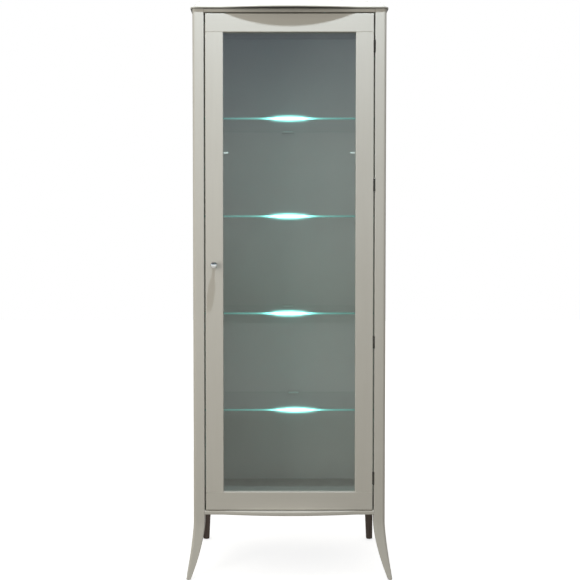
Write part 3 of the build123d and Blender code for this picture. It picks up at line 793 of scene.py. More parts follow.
# ---------------------------------------------------------------- geometry node trees
class Rules:
    """The geometry node trees that bow a board, flare a leg and set fasteners in place."""

    def __init__(self) -> None:
        """Builds each tree once."""
        self.bow = self.build_bow()
        self.sabre = self.build_sabre()
        self.fasteners = self.build_fasteners()

    @staticmethod
    def build_bow() -> NodeTree:
        """Returns the tree that swells a straight front edge into an arc that blends out at both ends."""
        inputs = {
            "Board": "Geometry",
            "Swell": 0.015,
            "Half Width": 0.215,
            "Arc Radius": 1.43,
            "Blend Radius": 0.118,
            "Join": 0.198,
            "Zone": 0.0,
            "Material": "Material",
        }
        nodes, given, result = new_group("bowed_front", "GeometryNodeTree", inputs, {"Board": "Geometry"})
        x, y, _ = nodes.split(nodes.add("GeometryNodeInputPosition"))
        across = nodes.math("ABSOLUTE", x)
        square = nodes.math("MULTIPLY", across, across)
        reach = nodes.math("MULTIPLY", given["Arc Radius"], given["Arc Radius"])
        level = nodes.math("SQRT", nodes.math("SUBTRACT", reach, square))
        sag = nodes.math("SUBTRACT", given["Arc Radius"], level)
        crown = nodes.math("SUBTRACT", given["Swell"], sag)
        rest = nodes.math("MAXIMUM", nodes.math("SUBTRACT", given["Half Width"], across), 0.0)
        blend = nodes.math("MULTIPLY", given["Blend Radius"], given["Blend Radius"])
        fall = nodes.math("SQRT", nodes.math("SUBTRACT", blend, nodes.math("MULTIPLY", rest, rest)))
        foot = nodes.math("SUBTRACT", given["Blend Radius"], fall)
        inner = nodes.math("LESS_THAN", across, given["Join"])
        outer = nodes.math("SUBTRACT", 1.0, inner)
        rise = nodes.math("ADD", nodes.math("MULTIPLY", inner, crown), nodes.math("MULTIPLY", outer, foot))
        ahead = nodes.math("MULTIPLY", rise, nodes.math("LESS_THAN", y, given["Zone"]))
        offset = nodes.add("ShaderNodeCombineXYZ", {1: nodes.math("MULTIPLY", ahead, -1.0)})
        moved = nodes.add("GeometryNodeSetPosition", {"Geometry": given["Board"], "Offset": offset})
        finished = nodes.add("GeometryNodeSetMaterial", {"Geometry": moved, "Material": given["Material"]})
        nodes.feed(result["Board"], finished)
        return nodes.tree

    @staticmethod
    def build_sabre() -> NodeTree:
        """Returns the tree that thins and flares the foot of a straight post into a sabre leg."""
        inputs = {
            "Post": "Geometry",
            "Side": 1.0,
            "Outer Face": 0.3,
            "Front Face": 0.0,
            "Post Size": 0.035,
            "Foot Size": 0.014,
            "Sabre Height": 0.178,
            "Flare Side": 0.023,
            "Flare Front": 0.018,
            "Flare Power": 1.4,
            "Material": "Material",
        }
        nodes, given, result = new_group("sabre_leg", "GeometryNodeTree", inputs, {"Post": "Geometry"})
        x, y, z = nodes.split(nodes.add("GeometryNodeInputPosition"))
        height = nodes.math("MINIMUM", nodes.math("DIVIDE", z, given["Sabre Height"]), 1.0)
        left = nodes.math("SUBTRACT", 1.0, height)
        fuller = nodes.math("SUBTRACT", 1.0, nodes.math("MULTIPLY", left, left))
        gain = nodes.math("MULTIPLY", nodes.math("SUBTRACT", given["Post Size"], given["Foot Size"]), fuller)
        size = nodes.math("DIVIDE", nodes.math("ADD", given["Foot Size"], gain), given["Post Size"])
        flare = nodes.math("POWER", left, given["Flare Power"])
        inward = nodes.math("MULTIPLY", nodes.math("SUBTRACT", given["Outer Face"], x), size)
        outward = nodes.math("ADD", given["Outer Face"], nodes.math("MULTIPLY", flare, given["Flare Side"]))
        across = nodes.math("MULTIPLY", nodes.math("SUBTRACT", outward, inward), given["Side"])
        backward = nodes.math("MULTIPLY", nodes.math("SUBTRACT", y, given["Front Face"]), size)
        ahead = nodes.math("MULTIPLY", flare, given["Flare Front"])
        forward = nodes.math("SUBTRACT", given["Front Face"], ahead)
        place = {0: across, 1: nodes.math("ADD", forward, backward), 2: z}
        spot = nodes.add("ShaderNodeCombineXYZ", place)
        moved = nodes.add("GeometryNodeSetPosition", {"Geometry": given["Post"], "Position": spot})
        mirrored = nodes.math("LESS_THAN", given["Side"], 0.0)
        turned_out = nodes.add("GeometryNodeFlipFaces", {"Mesh": moved, "Selection": mirrored})
        finished = nodes.add("GeometryNodeSetMaterial", {"Geometry": turned_out, "Material": given["Material"]})
        nodes.feed(result["Post"], finished)
        return nodes.tree

    @staticmethod
    def build_fasteners() -> NodeTree:
        """Returns the tree that sets one item on each point, turned to the point's own direction."""
        inputs = {
            "Points": "Geometry",
            "Item": "Object",
            "Spin": 0.0,
            "Seed": 7,
            "Material": "Material",
        }
        nodes, given, result = new_group("set_fasteners", "GeometryNodeTree", inputs, {"Set": "Geometry"})
        item = nodes.add("GeometryNodeObjectInfo", {"Object": given["Item"]})
        way = nodes.add("GeometryNodeInputNamedAttribute", {"Name": "way"}, data_type="FLOAT_VECTOR")
        aimed = nodes.add("FunctionNodeAlignRotationToVector", {"Vector": way}, axis="Z")
        less = nodes.math("MULTIPLY", given["Spin"], -1.0)
        chance = nodes.add("FunctionNodeRandomValue", data_type="FLOAT")
        nodes.feed(chance.inputs[2], less)
        nodes.feed(chance.inputs[3], given["Spin"])
        nodes.feed(chance.inputs["Seed"], given["Seed"])
        spun = nodes.add("ShaderNodeCombineXYZ", {2: chance.outputs[1]})
        turns = {"Rotation": aimed, "Rotate By": spun}
        turn = nodes.add("FunctionNodeRotateRotation", turns, rotation_space="LOCAL")
        points = {"Points": given["Points"], "Instance": item.outputs["Geometry"], "Rotation": turn}
        placed = nodes.add("GeometryNodeInstanceOnPoints", points)
        real = nodes.add("GeometryNodeRealizeInstances", {"Geometry": placed})
        finished = nodes.add("GeometryNodeSetMaterial", {"Geometry": real, "Material": given["Material"]})
        nodes.feed(result["Set"], finished)
        return nodes.tree


def apply_rule(piece: Object, tree: NodeTree, **values: Any) -> Object:
    """Runs a geometry node tree on a piece and keeps the result as plain mesh.

    Args:
        piece: The piece.
        tree: The tree.
        values: The tree's inputs, with underscores for the spaces in their names.

    Returns:
        The same piece.
    """
    modifier = piece.modifiers.new(tree.name, "NODES")
    modifier.node_group = tree
    sockets = {s.name: s.identifier for s in tree.interface.items_tree if s.in_out == "INPUT"}
    for name, value in values.items():
        modifier[sockets[name.replace("_", " ")]] = value
    return baked(piece)


def set_fasteners(
    name: str,
    rules: Rules,
    item: Object,
    spots: Sequence[tuple[Vector, Point]],
    finish: Material,
    spin: float = 0.0,
) -> Object:
    """Sets the same item on many spots, as one piece.

    Args:
        name: The piece's name.
        rules: The geometry node trees.
        item: The item, which points along +Z and is removed afterwards.
        spots: Each spot's place and direction.
        finish: The material.
        spin: How far each item may be turned about its own axis, in radians.

    Returns:
        The new piece.
    """
    mesh = bpy.data.meshes.new(name)
    mesh.from_pydata([place for place, _ in spots], [], [])
    layer = mesh.attributes.new("way", "FLOAT_VECTOR", "POINT")
    layer.data.foreach_set("vector", [part for _, way in spots for part in way])
    piece = link(name, mesh)
    apply_rule(piece, rules.fasteners, Item=item, Spin=spin, Seed=7, Material=finish)
    bpy.data.objects.remove(item)
    return piece


def install(piece: Object, body: str, slot: str, *nodes: str) -> Object:
    """Hands a finished piece to the frame.

    Args:
        piece: The piece, in place.
        body: The body that it rides on.
        slot: Not used.
        nodes: The CAD nodes that it stands for.

    Returns:
        The same piece.
    """
    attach(piece, body)
    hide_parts(*nodes)
    count = len(piece.data.polygons)
    log.info("%s rides on %s and stands for %s, %d faces", piece.name, body, ", ".join(nodes), count)
    return piece


# ---------------------------------------------------------------- carcass
@dataclass
class Bow:
    """The shallow bow of the top and bottom boards' front edges."""

    swell: float = 15 * MM
    half_width: float = 215 * MM
    arc_radius: float = 1430 * MM

    @property
    def blend_radius(self) -> float:
        """The radius that leads out of the arc into the straight edge."""
        return (self.half_width**2 + self.swell**2) / (2 * self.swell) - self.arc_radius

    @property
    def join(self) -> float:
        """Where the arc and the blend meet, from the middle."""
        return self.arc_radius * self.half_width / (self.arc_radius + self.blend_radius)

    def bend(self, board: Object, rules: Rules, zone: float, finish: Material) -> Object:
        """Bows a board's front.

        Args:
            board: The straight board.
            rules: The geometry node trees.
            zone: The Y in front of which points move.
            finish: The material.

        Returns:
            The same board.
        """
        return apply_rule(
            board, rules.bow, Swell=self.swell, Half_Width=self.half_width, Arc_Radius=self.arc_radius,
            Blend_Radius=self.blend_radius, Join=self.join, Zone=zone, Material=finish,
        )


@dataclass
class TopBoard:
    """The top board: a round nose below, an ogee above it and a short upright edge."""

    finishes: Finishes
    rules: Rules
    bow: Bow
    corner: float = 24 * MM
    corner_draw: float = 0.6
    nose: float = 7 * MM
    nose_round: float = 2.8 * MM
    ogee_start: float = 3.5 * MM
    ogee_end: float = 24 * MM
    ogee_rise: float = 17 * MM
    top_arris: float = 0.8 * MM
    bend_reach: float = 5 * MM
    front_steps: int = 96
    ogee_steps: int = 16

    def outline(self, inset: float, z: float) -> list[Point]:
        """Returns the straight board's plan, drawn in at its front and sides."""
        low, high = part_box("top_board")
        half = high.x - inset
        front = low.y + self.bow.swell + inset
        radius = self.corner - self.corner_draw * inset
        straight = half - radius
        points = [(-straight + 2 * straight * n / self.front_steps, front) for n in range(self.front_steps)]
        points += arc((straight, front + radius), radius, -90, 0, 8)
        points += [(half, high.y), (-half, high.y)]
        points += arc((-straight, front + radius), radius, 180, 270, 8)[:-1]
        return [(x, y, z) for x, y in points]

    def profile(self) -> list[Spot]:
        """Returns (inset, height) from the underside to the top face."""
        round_, nose = self.nose_round, self.nose
        steps = arc((round_, round_), round_, 270, 180, 5) + arc((round_, nose - round_), round_, 180, 90, 5)
        for n in range(self.ogee_steps + 1):
            t = n / self.ogee_steps
            rise = self.ogee_rise * (3 * t**2 - 2 * t**3)
            steps.append((self.ogee_start + (self.ogee_end - self.ogee_start) * t, nose + rise))
        low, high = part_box("top_board")
        tall = high.z - low.z
        return steps + arc((self.ogee_end + self.top_arris, tall - self.top_arris), self.top_arris, 180, 90, 4)

    def build(self) -> None:
        """Makes the board and hands it to the frame."""
        low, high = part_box("top_board")
        rings = [self.outline(inset, low.z + z) for inset, z in self.profile()]
        board = rings_to_solid("top_board_bowed", rings)
        edge_low, edge_high = low.z + self.nose, high.z - 2 * self.top_arris
        mark_arris(board, lambda p: 1.0 if abs(p.z - edge_low) < MM or p.z > edge_high else 0.0)
        zone = low.y + self.bow.swell + self.ogee_end + self.bend_reach
        self.bow.bend(board, self.rules, zone, self.finishes["lacquer_top"])
        # The flat top face takes the darker lacquer copy: painted shade against the overhead lamp's light.
        board.data.materials.append(self.finishes["lacquer_crown"])
        for face in board.data.polygons:
            if face.normal.z > 0.99 and face.center.z > high.z - self.top_arris:
                face.material_index = 1
        even_shading(board, 32.0)
        install(board, "cabinet", "lacquer", "top_board")


@dataclass
class BottomBoard:
    """The floor of the cabinet, cut round the posts, with rounded front edges."""

    finishes: Finishes
    rules: Rules
    bow: Bow
    round: float = 3 * MM
    bend_reach: float = 5 * MM
    front_steps: int = 96

    def outline(self, inset: float, z: float) -> list[Point]:
        """Returns the straight board's plan with its front drawn in."""
        low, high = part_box("bottom_board")
        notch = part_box("front_right_leg_post")[1].y
        front = low.y + self.bow.swell + inset
        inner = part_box("frieze_rail")[1].x
        points = [(-inner + 2 * inner * n / self.front_steps, front) for n in range(self.front_steps + 1)]
        corner = [(inner, notch), (high.x, notch), (high.x, high.y)]
        points += corner + [(-x, y) for x, y in reversed(corner)]
        return [(x, y, z) for x, y in points]

    def build(self) -> None:
        """Makes the board and hands it to the frame."""
        low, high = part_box("bottom_board")
        tall = high.z - low.z
        lower = arc((self.round, self.round), self.round, 270, 180, 5)
        upper = arc((self.round, tall - self.round), self.round, 180, 90, 5)
        rings = [self.outline(inset, low.z + z) for inset, z in lower + upper]
        board = rings_to_solid("bottom_board_bowed", rings)
        front = low.y + self.bow.swell + self.round
        rim = 0.7 * self.round
        mark_arris(board, lambda p: 1.0 if p.y < front and min(p.z - low.z, high.z - p.z) < rim else 0.0)
        self.bow.bend(board, self.rules, front + self.bend_reach, self.finishes["lacquer_floor"])
        even_shading(board, 32.0)
        install(board, "cabinet", "lacquer", "bottom_board")


@dataclass
class FrontPosts:
    """The two front posts, each with the sabre leg that it runs down into."""

    finishes: Finishes
    rules: Rules
    outer_round: float = 10 * MM
    arris: float = 2 * MM
    size: float = 35 * MM
    foot: float = 14 * MM
    sabre_height: float = 178 * MM
    flare_side: float = 23 * MM
    flare_front: float = 18 * MM
    flare_power: float = 1.4
    mortise_play: float = 0.1 * MM
    rubbed_reach: float = 3 * MM
    leg_steps: int = 44
    shaft_steps: int = 12

    def outline(self, outer: float, front: float, z: float) -> list[Point]:
        """Returns the post's section: a square with one well rounded corner."""
        inner, back = outer - self.size, front + self.size
        soft, bold = self.arris, self.outer_round
        points = arc((inner + soft, front + soft), soft, 180, 270, 4)
        points += arc((outer - bold, front + bold), bold, 270, 360, 10)
        points += arc((outer - soft, back - soft), soft, 0, 90, 4)
        points += arc((inner + soft, back - soft), soft, 90, 180, 4)
        return [(x, y, z) for x, y in points]

    def levels(self, foot: float, top: float) -> list[float]:
        """Returns the heights of the post's rings, close together in the leg."""
        leg = [foot + (self.sabre_height - foot) * n / self.leg_steps for n in range(self.leg_steps + 1)]
        count = self.shaft_steps
        shaft = [self.sabre_height + (top - self.sabre_height) * n / count for n in range(1, count + 1)]
        return leg + shaft

    def mortises(self) -> list[tuple[Point, Point]]:
        """Returns the boxes that the hinge leaves are let into."""
        boxes, play, past = [], self.mortise_play, 5 * MM
        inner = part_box("frieze_rail")[1].x
        for number in range(1, 5):
            low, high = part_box(f"hinge_post_leaf_{number}")
            deepest = (high.x + play, high.y + play, high.z + play)
            boxes.append(((inner - past, low.y - past, low.z - play), deepest))
        return boxes

    def build(self) -> None:
        """Makes both posts and hands them to the frame."""
        outer = -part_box("left_side_panel")[0].x
        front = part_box("frieze_rail")[0].y
        for name, side in (("left", -1.0), ("right", 1.0)):
            node = f"front_{name}_leg_post"
            low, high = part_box(node)
            rings = [self.outline(outer, front, z) for z in self.levels(low.z, high.z)]
            post = rings_to_solid(f"{node}_flared", rings)
            edges = [(outer, front), (outer - self.size, front), (outer, front + self.size)]
            mark_arris(post, lambda p: max(
                math.exp(-((p.x - x) ** 2 + (p.y - y) ** 2) / self.rubbed_reach**2) for x, y in edges))
            apply_rule(
                post, self.rules.sabre, Side=side, Outer_Face=outer, Front_Face=front, Post_Size=self.size,
                Foot_Size=self.foot, Sabre_Height=self.sabre_height, Flare_Side=self.flare_side,
                Flare_Front=self.flare_front, Flare_Power=self.flare_power,
                Material=self.finishes["lacquer_posts"],
            )
            if side > 0:
                carve(post, self.mortises())
            even_shading(post, 35.0)
            install(post, "cabinet", "lacquer", node)


@dataclass
class Carcass:
    """Everything that stands still round the door: boards, posts, panels, legs and glides."""

    finishes: Finishes
    rules: Rules
    bow: Bow = field(default_factory=Bow)
    glide_edge: float = 0.35

    def build(self) -> None:
        """Builds the shaped pieces and dresses the flat ones."""
        TopBoard(self.finishes, self.rules, self.bow).build()
        BottomBoard(self.finishes, self.rules, self.bow).build()
        FrontPosts(self.finishes, self.rules).build()
        repaint(self.finishes["lacquer_level"], "frieze_rail")
        repaint(self.finishes["lacquer_upright"], "left_side_panel", "right_side_panel")
        repaint(self.finishes["lacquer_inside"], "back_panel")
        # The ceiling panel takes the dark grey lacquer: painted shade.
        repaint(self.finishes["lacquer_ceiling"], "ceiling_panel")
        repaint(self.finishes["dark_stain"], "rear_left_leg", "rear_right_leg")
        repaint(self.finishes["zinc_steel"], "rear_leg_bolts")
        repaint(self.finishes["black_plastic"], "power_inlet")
        self.build_glides()

    def build_glides(self) -> None:
        """Sets a domed glide under each foot."""
        for name, wide in (("front", False), ("rear", True)):
            boxes = [box for box in islands("leg_glides") if (box[0].y > 0) == wide]
            radius = (boxes[0][1].x - boxes[0][0].x) / 2
            tall = boxes[0][1].z
            edge = self.glide_edge * tall
            profile = [(0.0, 0.0), (radius - 2 * edge, 0.0)]
            profile += arc((radius - edge, edge), edge, 270, 360, 5) + [(radius, tall), (0.0, tall)]
            item = even_shading(turned("glide", profile, 32))
            middles = [(low + high) / 2 for low, high in boxes]
            spots = [(Vector((middle.x, middle.y, 0.0)), (0, 0, 1)) for middle in middles]
            glides = set_fasteners(f"{name}_glides", self.rules, item, spots, self.finishes["glide_plastic"])
            install(glides, "cabinet", "glide_plastic", "leg_glides")


# ---------------------------------------------------------------- door
@dataclass
class Door:
    """The framed glass door with its beads, clips, catches' plates and knob."""

    finishes: Finishes
    rules: Rules
    knob_radius: float = 11 * MM
    stem_radius: float = 4.5 * MM
    rose_radius: float = 7.5 * MM
    rose_thickness: float = 2.5 * MM
    rose_square: float = 0.4
    stem_flare: Spot = (0.6 * MM, 1.2 * MM)
    neck_fillet: float = 0.4 * MM

    def build(self) -> None:
        """Dresses the frame and makes the knob."""
        finishes = self.finishes
        repaint(finishes["lacquer_level"], "door_top_rail", "door_bottom_rail")
        repaint(finishes["lacquer_upright"], "door_hinge_stile", "door_knob_stile")
        repaint(finishes["lacquer_upright"], "glazing_bead_left", "glazing_bead_right")
        repaint(finishes["lacquer_level"], "glazing_bead_top", "glazing_bead_bottom")
        repaint(finishes["door_glass"], "door_glass")
        repaint(finishes["beech"], "door_dowels")
        repaint(finishes["bright_clip"], "glass_clips")
        repaint(finishes["zinc_steel"], "knob_screw", "strike_plates")
        self.build_knob()

    def build_knob(self) -> None:
        """Turns the knob: a rose, a waisted stem and a ball."""
        low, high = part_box("door_knob")
        reach = high.y - low.y
        centre = reach - self.knob_radius
        neck = math.degrees(math.asin(self.stem_radius / self.knob_radius))
        square = self.rose_square * self.rose_thickness
        bead = self.rose_thickness - square
        profile = [(0.0, 0.0), (self.rose_radius, 0.0), (self.rose_radius, square)]
        profile += arc((self.rose_radius - bead, self.rose_thickness - bead), bead, 0, 90, 8)[1:]
        out, along = self.stem_flare
        profile += [(self.stem_radius + out, self.rose_thickness)]
        profile += [(self.stem_radius, self.rose_thickness + along)]
        start = centre - self.knob_radius * math.cos(math.radians(neck))
        profile += [(self.stem_radius, start - self.neck_fillet)]
        profile += arc((0.0, centre), self.knob_radius, neck - 90, 90, 40)[:-1] + [(0.0, reach)]
        knob = turned("knob_turned", profile, 64)
        middle = (low.x + high.x) / 2, (low.z + high.z) / 2
        for vert in knob.data.vertices:
            x, y, z = vert.co
            vert.co = (middle[0] + x, high.y - z, middle[1] + y)
        paint(knob, self.finishes["chrome"])
        even_shading(knob, 50.0)
        install(knob, "door", "chrome", "door_knob")


@dataclass
class HingesAndCatches:
    """The butt hinges with their screws, and the magnetic catches."""

    finishes: Finishes
    rules: Rules
    cross_share: float = 0.55
    turned_by: float = 1.5
    # The hinge whose pin gets a bright finish as a painted glint on its knuckle.
    bright_hinge: int = 3

    def screw(self, radius: float, tall: float) -> Object:
        """Makes a countersunk screw head with a cross recess, facing +Z with its face at the origin.

        Args:
            radius: The head's radius.
            tall: The head's depth, with the shank's beginning.

        Returns:
            The screw.
        """
        face = 0.06 * radius
        profile = [(0.0, -tall), (0.5 * radius, -tall), (0.5 * radius, -0.55 * radius), (radius, -face)]
        profile += [(0.96 * radius, 0.0), (0.0, 0.0)]
        item = turned("screw", profile, 32)
        wide, thin, deep = self.cross_share * radius, 0.11 * radius, 0.35 * radius
        boxes = [((-wide, -thin, -deep), (wide, thin, MM)), ((-thin, -wide, -deep), (thin, wide, MM))]
        return even_shading(carve(item, boxes), 30.0)

    def set_screws(self, node: str, body: str, axis: int, sign: float, finish: str, slot: str) -> None:
        """Sets new heads where a CAD node has its screws.

        Args:
            node: The CAD node.
            body: The body that the screws ride on.
            axis: The axis that they point along.
            sign: The way that their heads face.
            finish: The material's name.
            slot: The material slot's name.
        """
        boxes = islands(node)
        across = (axis + 1) % 3
        radius = (boxes[0][1][across] - boxes[0][0][across]) / 2
        tall = boxes[0][1][axis] - boxes[0][0][axis]
        way = tuple(sign if n == axis else 0.0 for n in range(3))
        spots = []
        for low, high in boxes:
            place = (low + high) / 2
            place[axis] = high[axis] if sign > 0 else low[axis]
            spots.append((place, way))
        item = self.screw(radius, tall)
        screws = set_fasteners(f"{node}_set", self.rules, item, spots, self.finishes[finish], self.turned_by)
        install(screws, body, slot, node)

    def build(self) -> None:
        """Dresses the leaves, pins and catches, and sets the screws."""
        finishes = self.finishes
        for number in range(1, 5):
            repaint(finishes["browned_steel"], f"hinge_post_leaf_{number}", f"hinge_door_leaf_{number}")
            # Painted glint: one hinge's pin takes the bright clip finish, the others browned steel.
            pin = "bright_clip" if number == self.bright_hinge else "browned_steel"
            repaint(finishes[pin], f"hinge_pin_{number}")
        repaint(finishes["pale_plastic"], "catch_bodies")
        repaint(finishes["magnet_plate"], "catch_magnets")
        self.set_screws("post_hinge_screws", "cabinet", 0, -1.0, "satin_steel", "hinge_steel")
        self.set_screws("door_hinge_screws", "door", 0, 1.0, "satin_steel", "hinge_steel")
        self.set_screws("back_panel_screws", "cabinet", 1, 1.0, "zinc_steel", "zinc_steel")


# ---------------------------------------------------------------- shelves
@dataclass
class Shelves:
    """Four glass shelves on pegs, each lit from a lamp behind its back edge."""

    finishes: Finishes
    rules: Rules
    chamfer: float = 0.6 * MM
    corner: float = 3 * MM
    core: float = 46 * MM
    tail: float = 110 * MM
    tail_share: float = 0.06
    fade: int = 6
    peg_radius: float = 2.45 * MM
    peg_reach: float = 9 * MM
    peg_round: float = 0.8 * MM
    collar_thickness: float = 1.2 * MM
    collar_arris: float = 0.3 * MM
    flat_height: float = 1 * MM
    steps_across: int = 120
    steps_deep: int = 16

    def light_at(self, x: float, y: float, centre: float, front: float, back: float) -> float:
        """Returns the share of the lamp's light that reaches a spot of the glass.

        Args:
            x: The spot's X.
            y: The spot's Y.
            centre: The lamp's X.
            front: The glass's front edge.
            back: The glass's back edge.

        Returns:
            The share, from 0 to 1.
        """
        away = abs(x - centre)
        travelled = (back - y) / (back - front)
        core = (1 - self.tail_share) * math.exp(-((away / self.core) ** 2))
        return travelled**self.fade * (core + self.tail_share * math.exp(-away / self.tail))

    def plate(self, node: str, lamp: float) -> Object:
        """Makes one shelf with bevelled edges, and stores the light that reaches each spot.

        Args:
            node: The CAD node.
            lamp: The lamp's X.

        Returns:
            The shelf.
        """
        low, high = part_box(node)
        xs = [low.x + (high.x - low.x) * n / self.steps_across for n in range(self.steps_across + 1)]
        ys = [low.y + (high.y - low.y) * n / self.steps_deep for n in range(self.steps_deep + 1)]
        xs[1], xs[-2] = low.x + self.corner, high.x - self.corner
        ys[1], ys[-2] = low.y + self.corner, high.y - self.corner
        work = bmesh.new()
        ease = self.corner * (1 - math.sqrt(0.5))

        def spot(i: int, j: int, inset: float, z: float) -> Point:
            """Returns a grid point, drawn in at the border and eased at the corners."""
            at_x = -1 if i == 0 else 1 if i == self.steps_across else 0
            at_y = -1 if j == 0 else 1 if j == self.steps_deep else 0
            draw = inset + (ease if at_x and at_y else 0.0)
            return (xs[i] - at_x * draw, ys[j] - at_y * draw, z)

        def sheet(z: float) -> None:
            """Adds one face of the plate."""
            grid = [[work.verts.new(spot(i, j, self.chamfer, z)) for j in range(self.steps_deep + 1)]
                    for i in range(self.steps_across + 1)]
            for i in range(self.steps_across):
                for j in range(self.steps_deep):
                    work.faces.new((grid[i][j], grid[i + 1][j], grid[i + 1][j + 1], grid[i][j + 1]))

        border = [(i, 0) for i in range(self.steps_across)]
        border += [(self.steps_across, j) for j in range(self.steps_deep)]
        border += [(i, self.steps_deep) for i in range(self.steps_across, 0, -1)]
        border += [(0, j) for j in range(self.steps_deep, 0, -1)]
        ease_in = self.chamfer
        levels = [(ease_in, low.z), (0.0, low.z + ease_in), (0.0, high.z - ease_in), (ease_in, high.z)]
        rings = [[work.verts.new(spot(i, j, inset, z)) for i, j in border] for inset, z in levels]
        for lower, upper in zip(rings, rings[1:]):
            for n in range(len(border)):
                m = (n + 1) % len(border)
                face = work.faces.new((lower[n], lower[m], upper[m], upper[n]))
                face.material_index = 1 if border[n][1] == border[m][1] == 0 else 2
        sheet(low.z)
        sheet(high.z)
        shelf = solid_from(f"{node}_lit", work)
        layer = shelf.data.attributes.new("lit", "FLOAT", "POINT")
        shares = [self.light_at(v.co.x, v.co.y, lamp, low.y, high.y) for v in shelf.data.vertices]
        layer.data.foreach_set("value", shares)
        return shelf

    def build(self) -> None:
        """Makes the shelves and their pegs, and dresses the pads and the lights."""
        finishes = self.finishes
        for number in range(1, 5):
            clip_low, clip_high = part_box(f"light_clip_{number}")
            shelf = self.plate(f"glass_shelf_{number}", (clip_low.x + clip_high.x) / 2)
            paint(shelf, finishes["shelf_glass"], finishes["shelf_edge"], finishes["shelf_rim"])
            install(shelf, "cabinet", "shelf_glass", f"glass_shelf_{number}")
            repaint(finishes["light_housing"], f"light_clip_{number}")
            repaint(finishes["light_lens"], f"light_lens_{number}")
        self.build_pegs()
        repaint(finishes["clear_pad"], "shelf_pads")

    def build_pegs(self) -> None:
        """Sets the turned pegs that carry the shelves."""
        boxes = islands("shelf_pegs")
        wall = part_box("right_side_panel")[0].x
        long = boxes[0][1].x - boxes[0][0].x
        radius = (boxes[0][1].y - boxes[0][0].y) / 2
        pin, reach, tip, ease = self.peg_radius, self.peg_reach, self.peg_round, self.collar_arris
        collar = self.collar_thickness
        profile = [(0.0, reach - long), (pin, reach - long), (pin, 0.0), (radius - ease, 0.0), (radius, ease)]
        profile += [(radius, collar - ease), (radius - ease, collar), (pin, collar)]
        profile += arc((pin - tip, reach - tip), tip, 0, 90, 5) + [(0.0, reach)]
        item = turned("peg", profile, 28)
        drop = radius - (pin + self.flat_height)
        far = 20 * MM
        carve(item, [((-radius - MM, -radius - MM, -far), (-radius + drop, radius + MM, far))])
        even_shading(item, 35.0)
        spots = []
        for low, high in boxes:
            side = math.copysign(1.0, low.x)
            spots.append((Vector((side * wall, (low.y + high.y) / 2, low.z + radius)), (-side, 0.0, 0.0)))
        pegs = set_fasteners("shelf_pegs_set", self.rules, item, spots, self.finishes["chrome"])
        install(pegs, "cabinet", "chrome", "shelf_pegs")


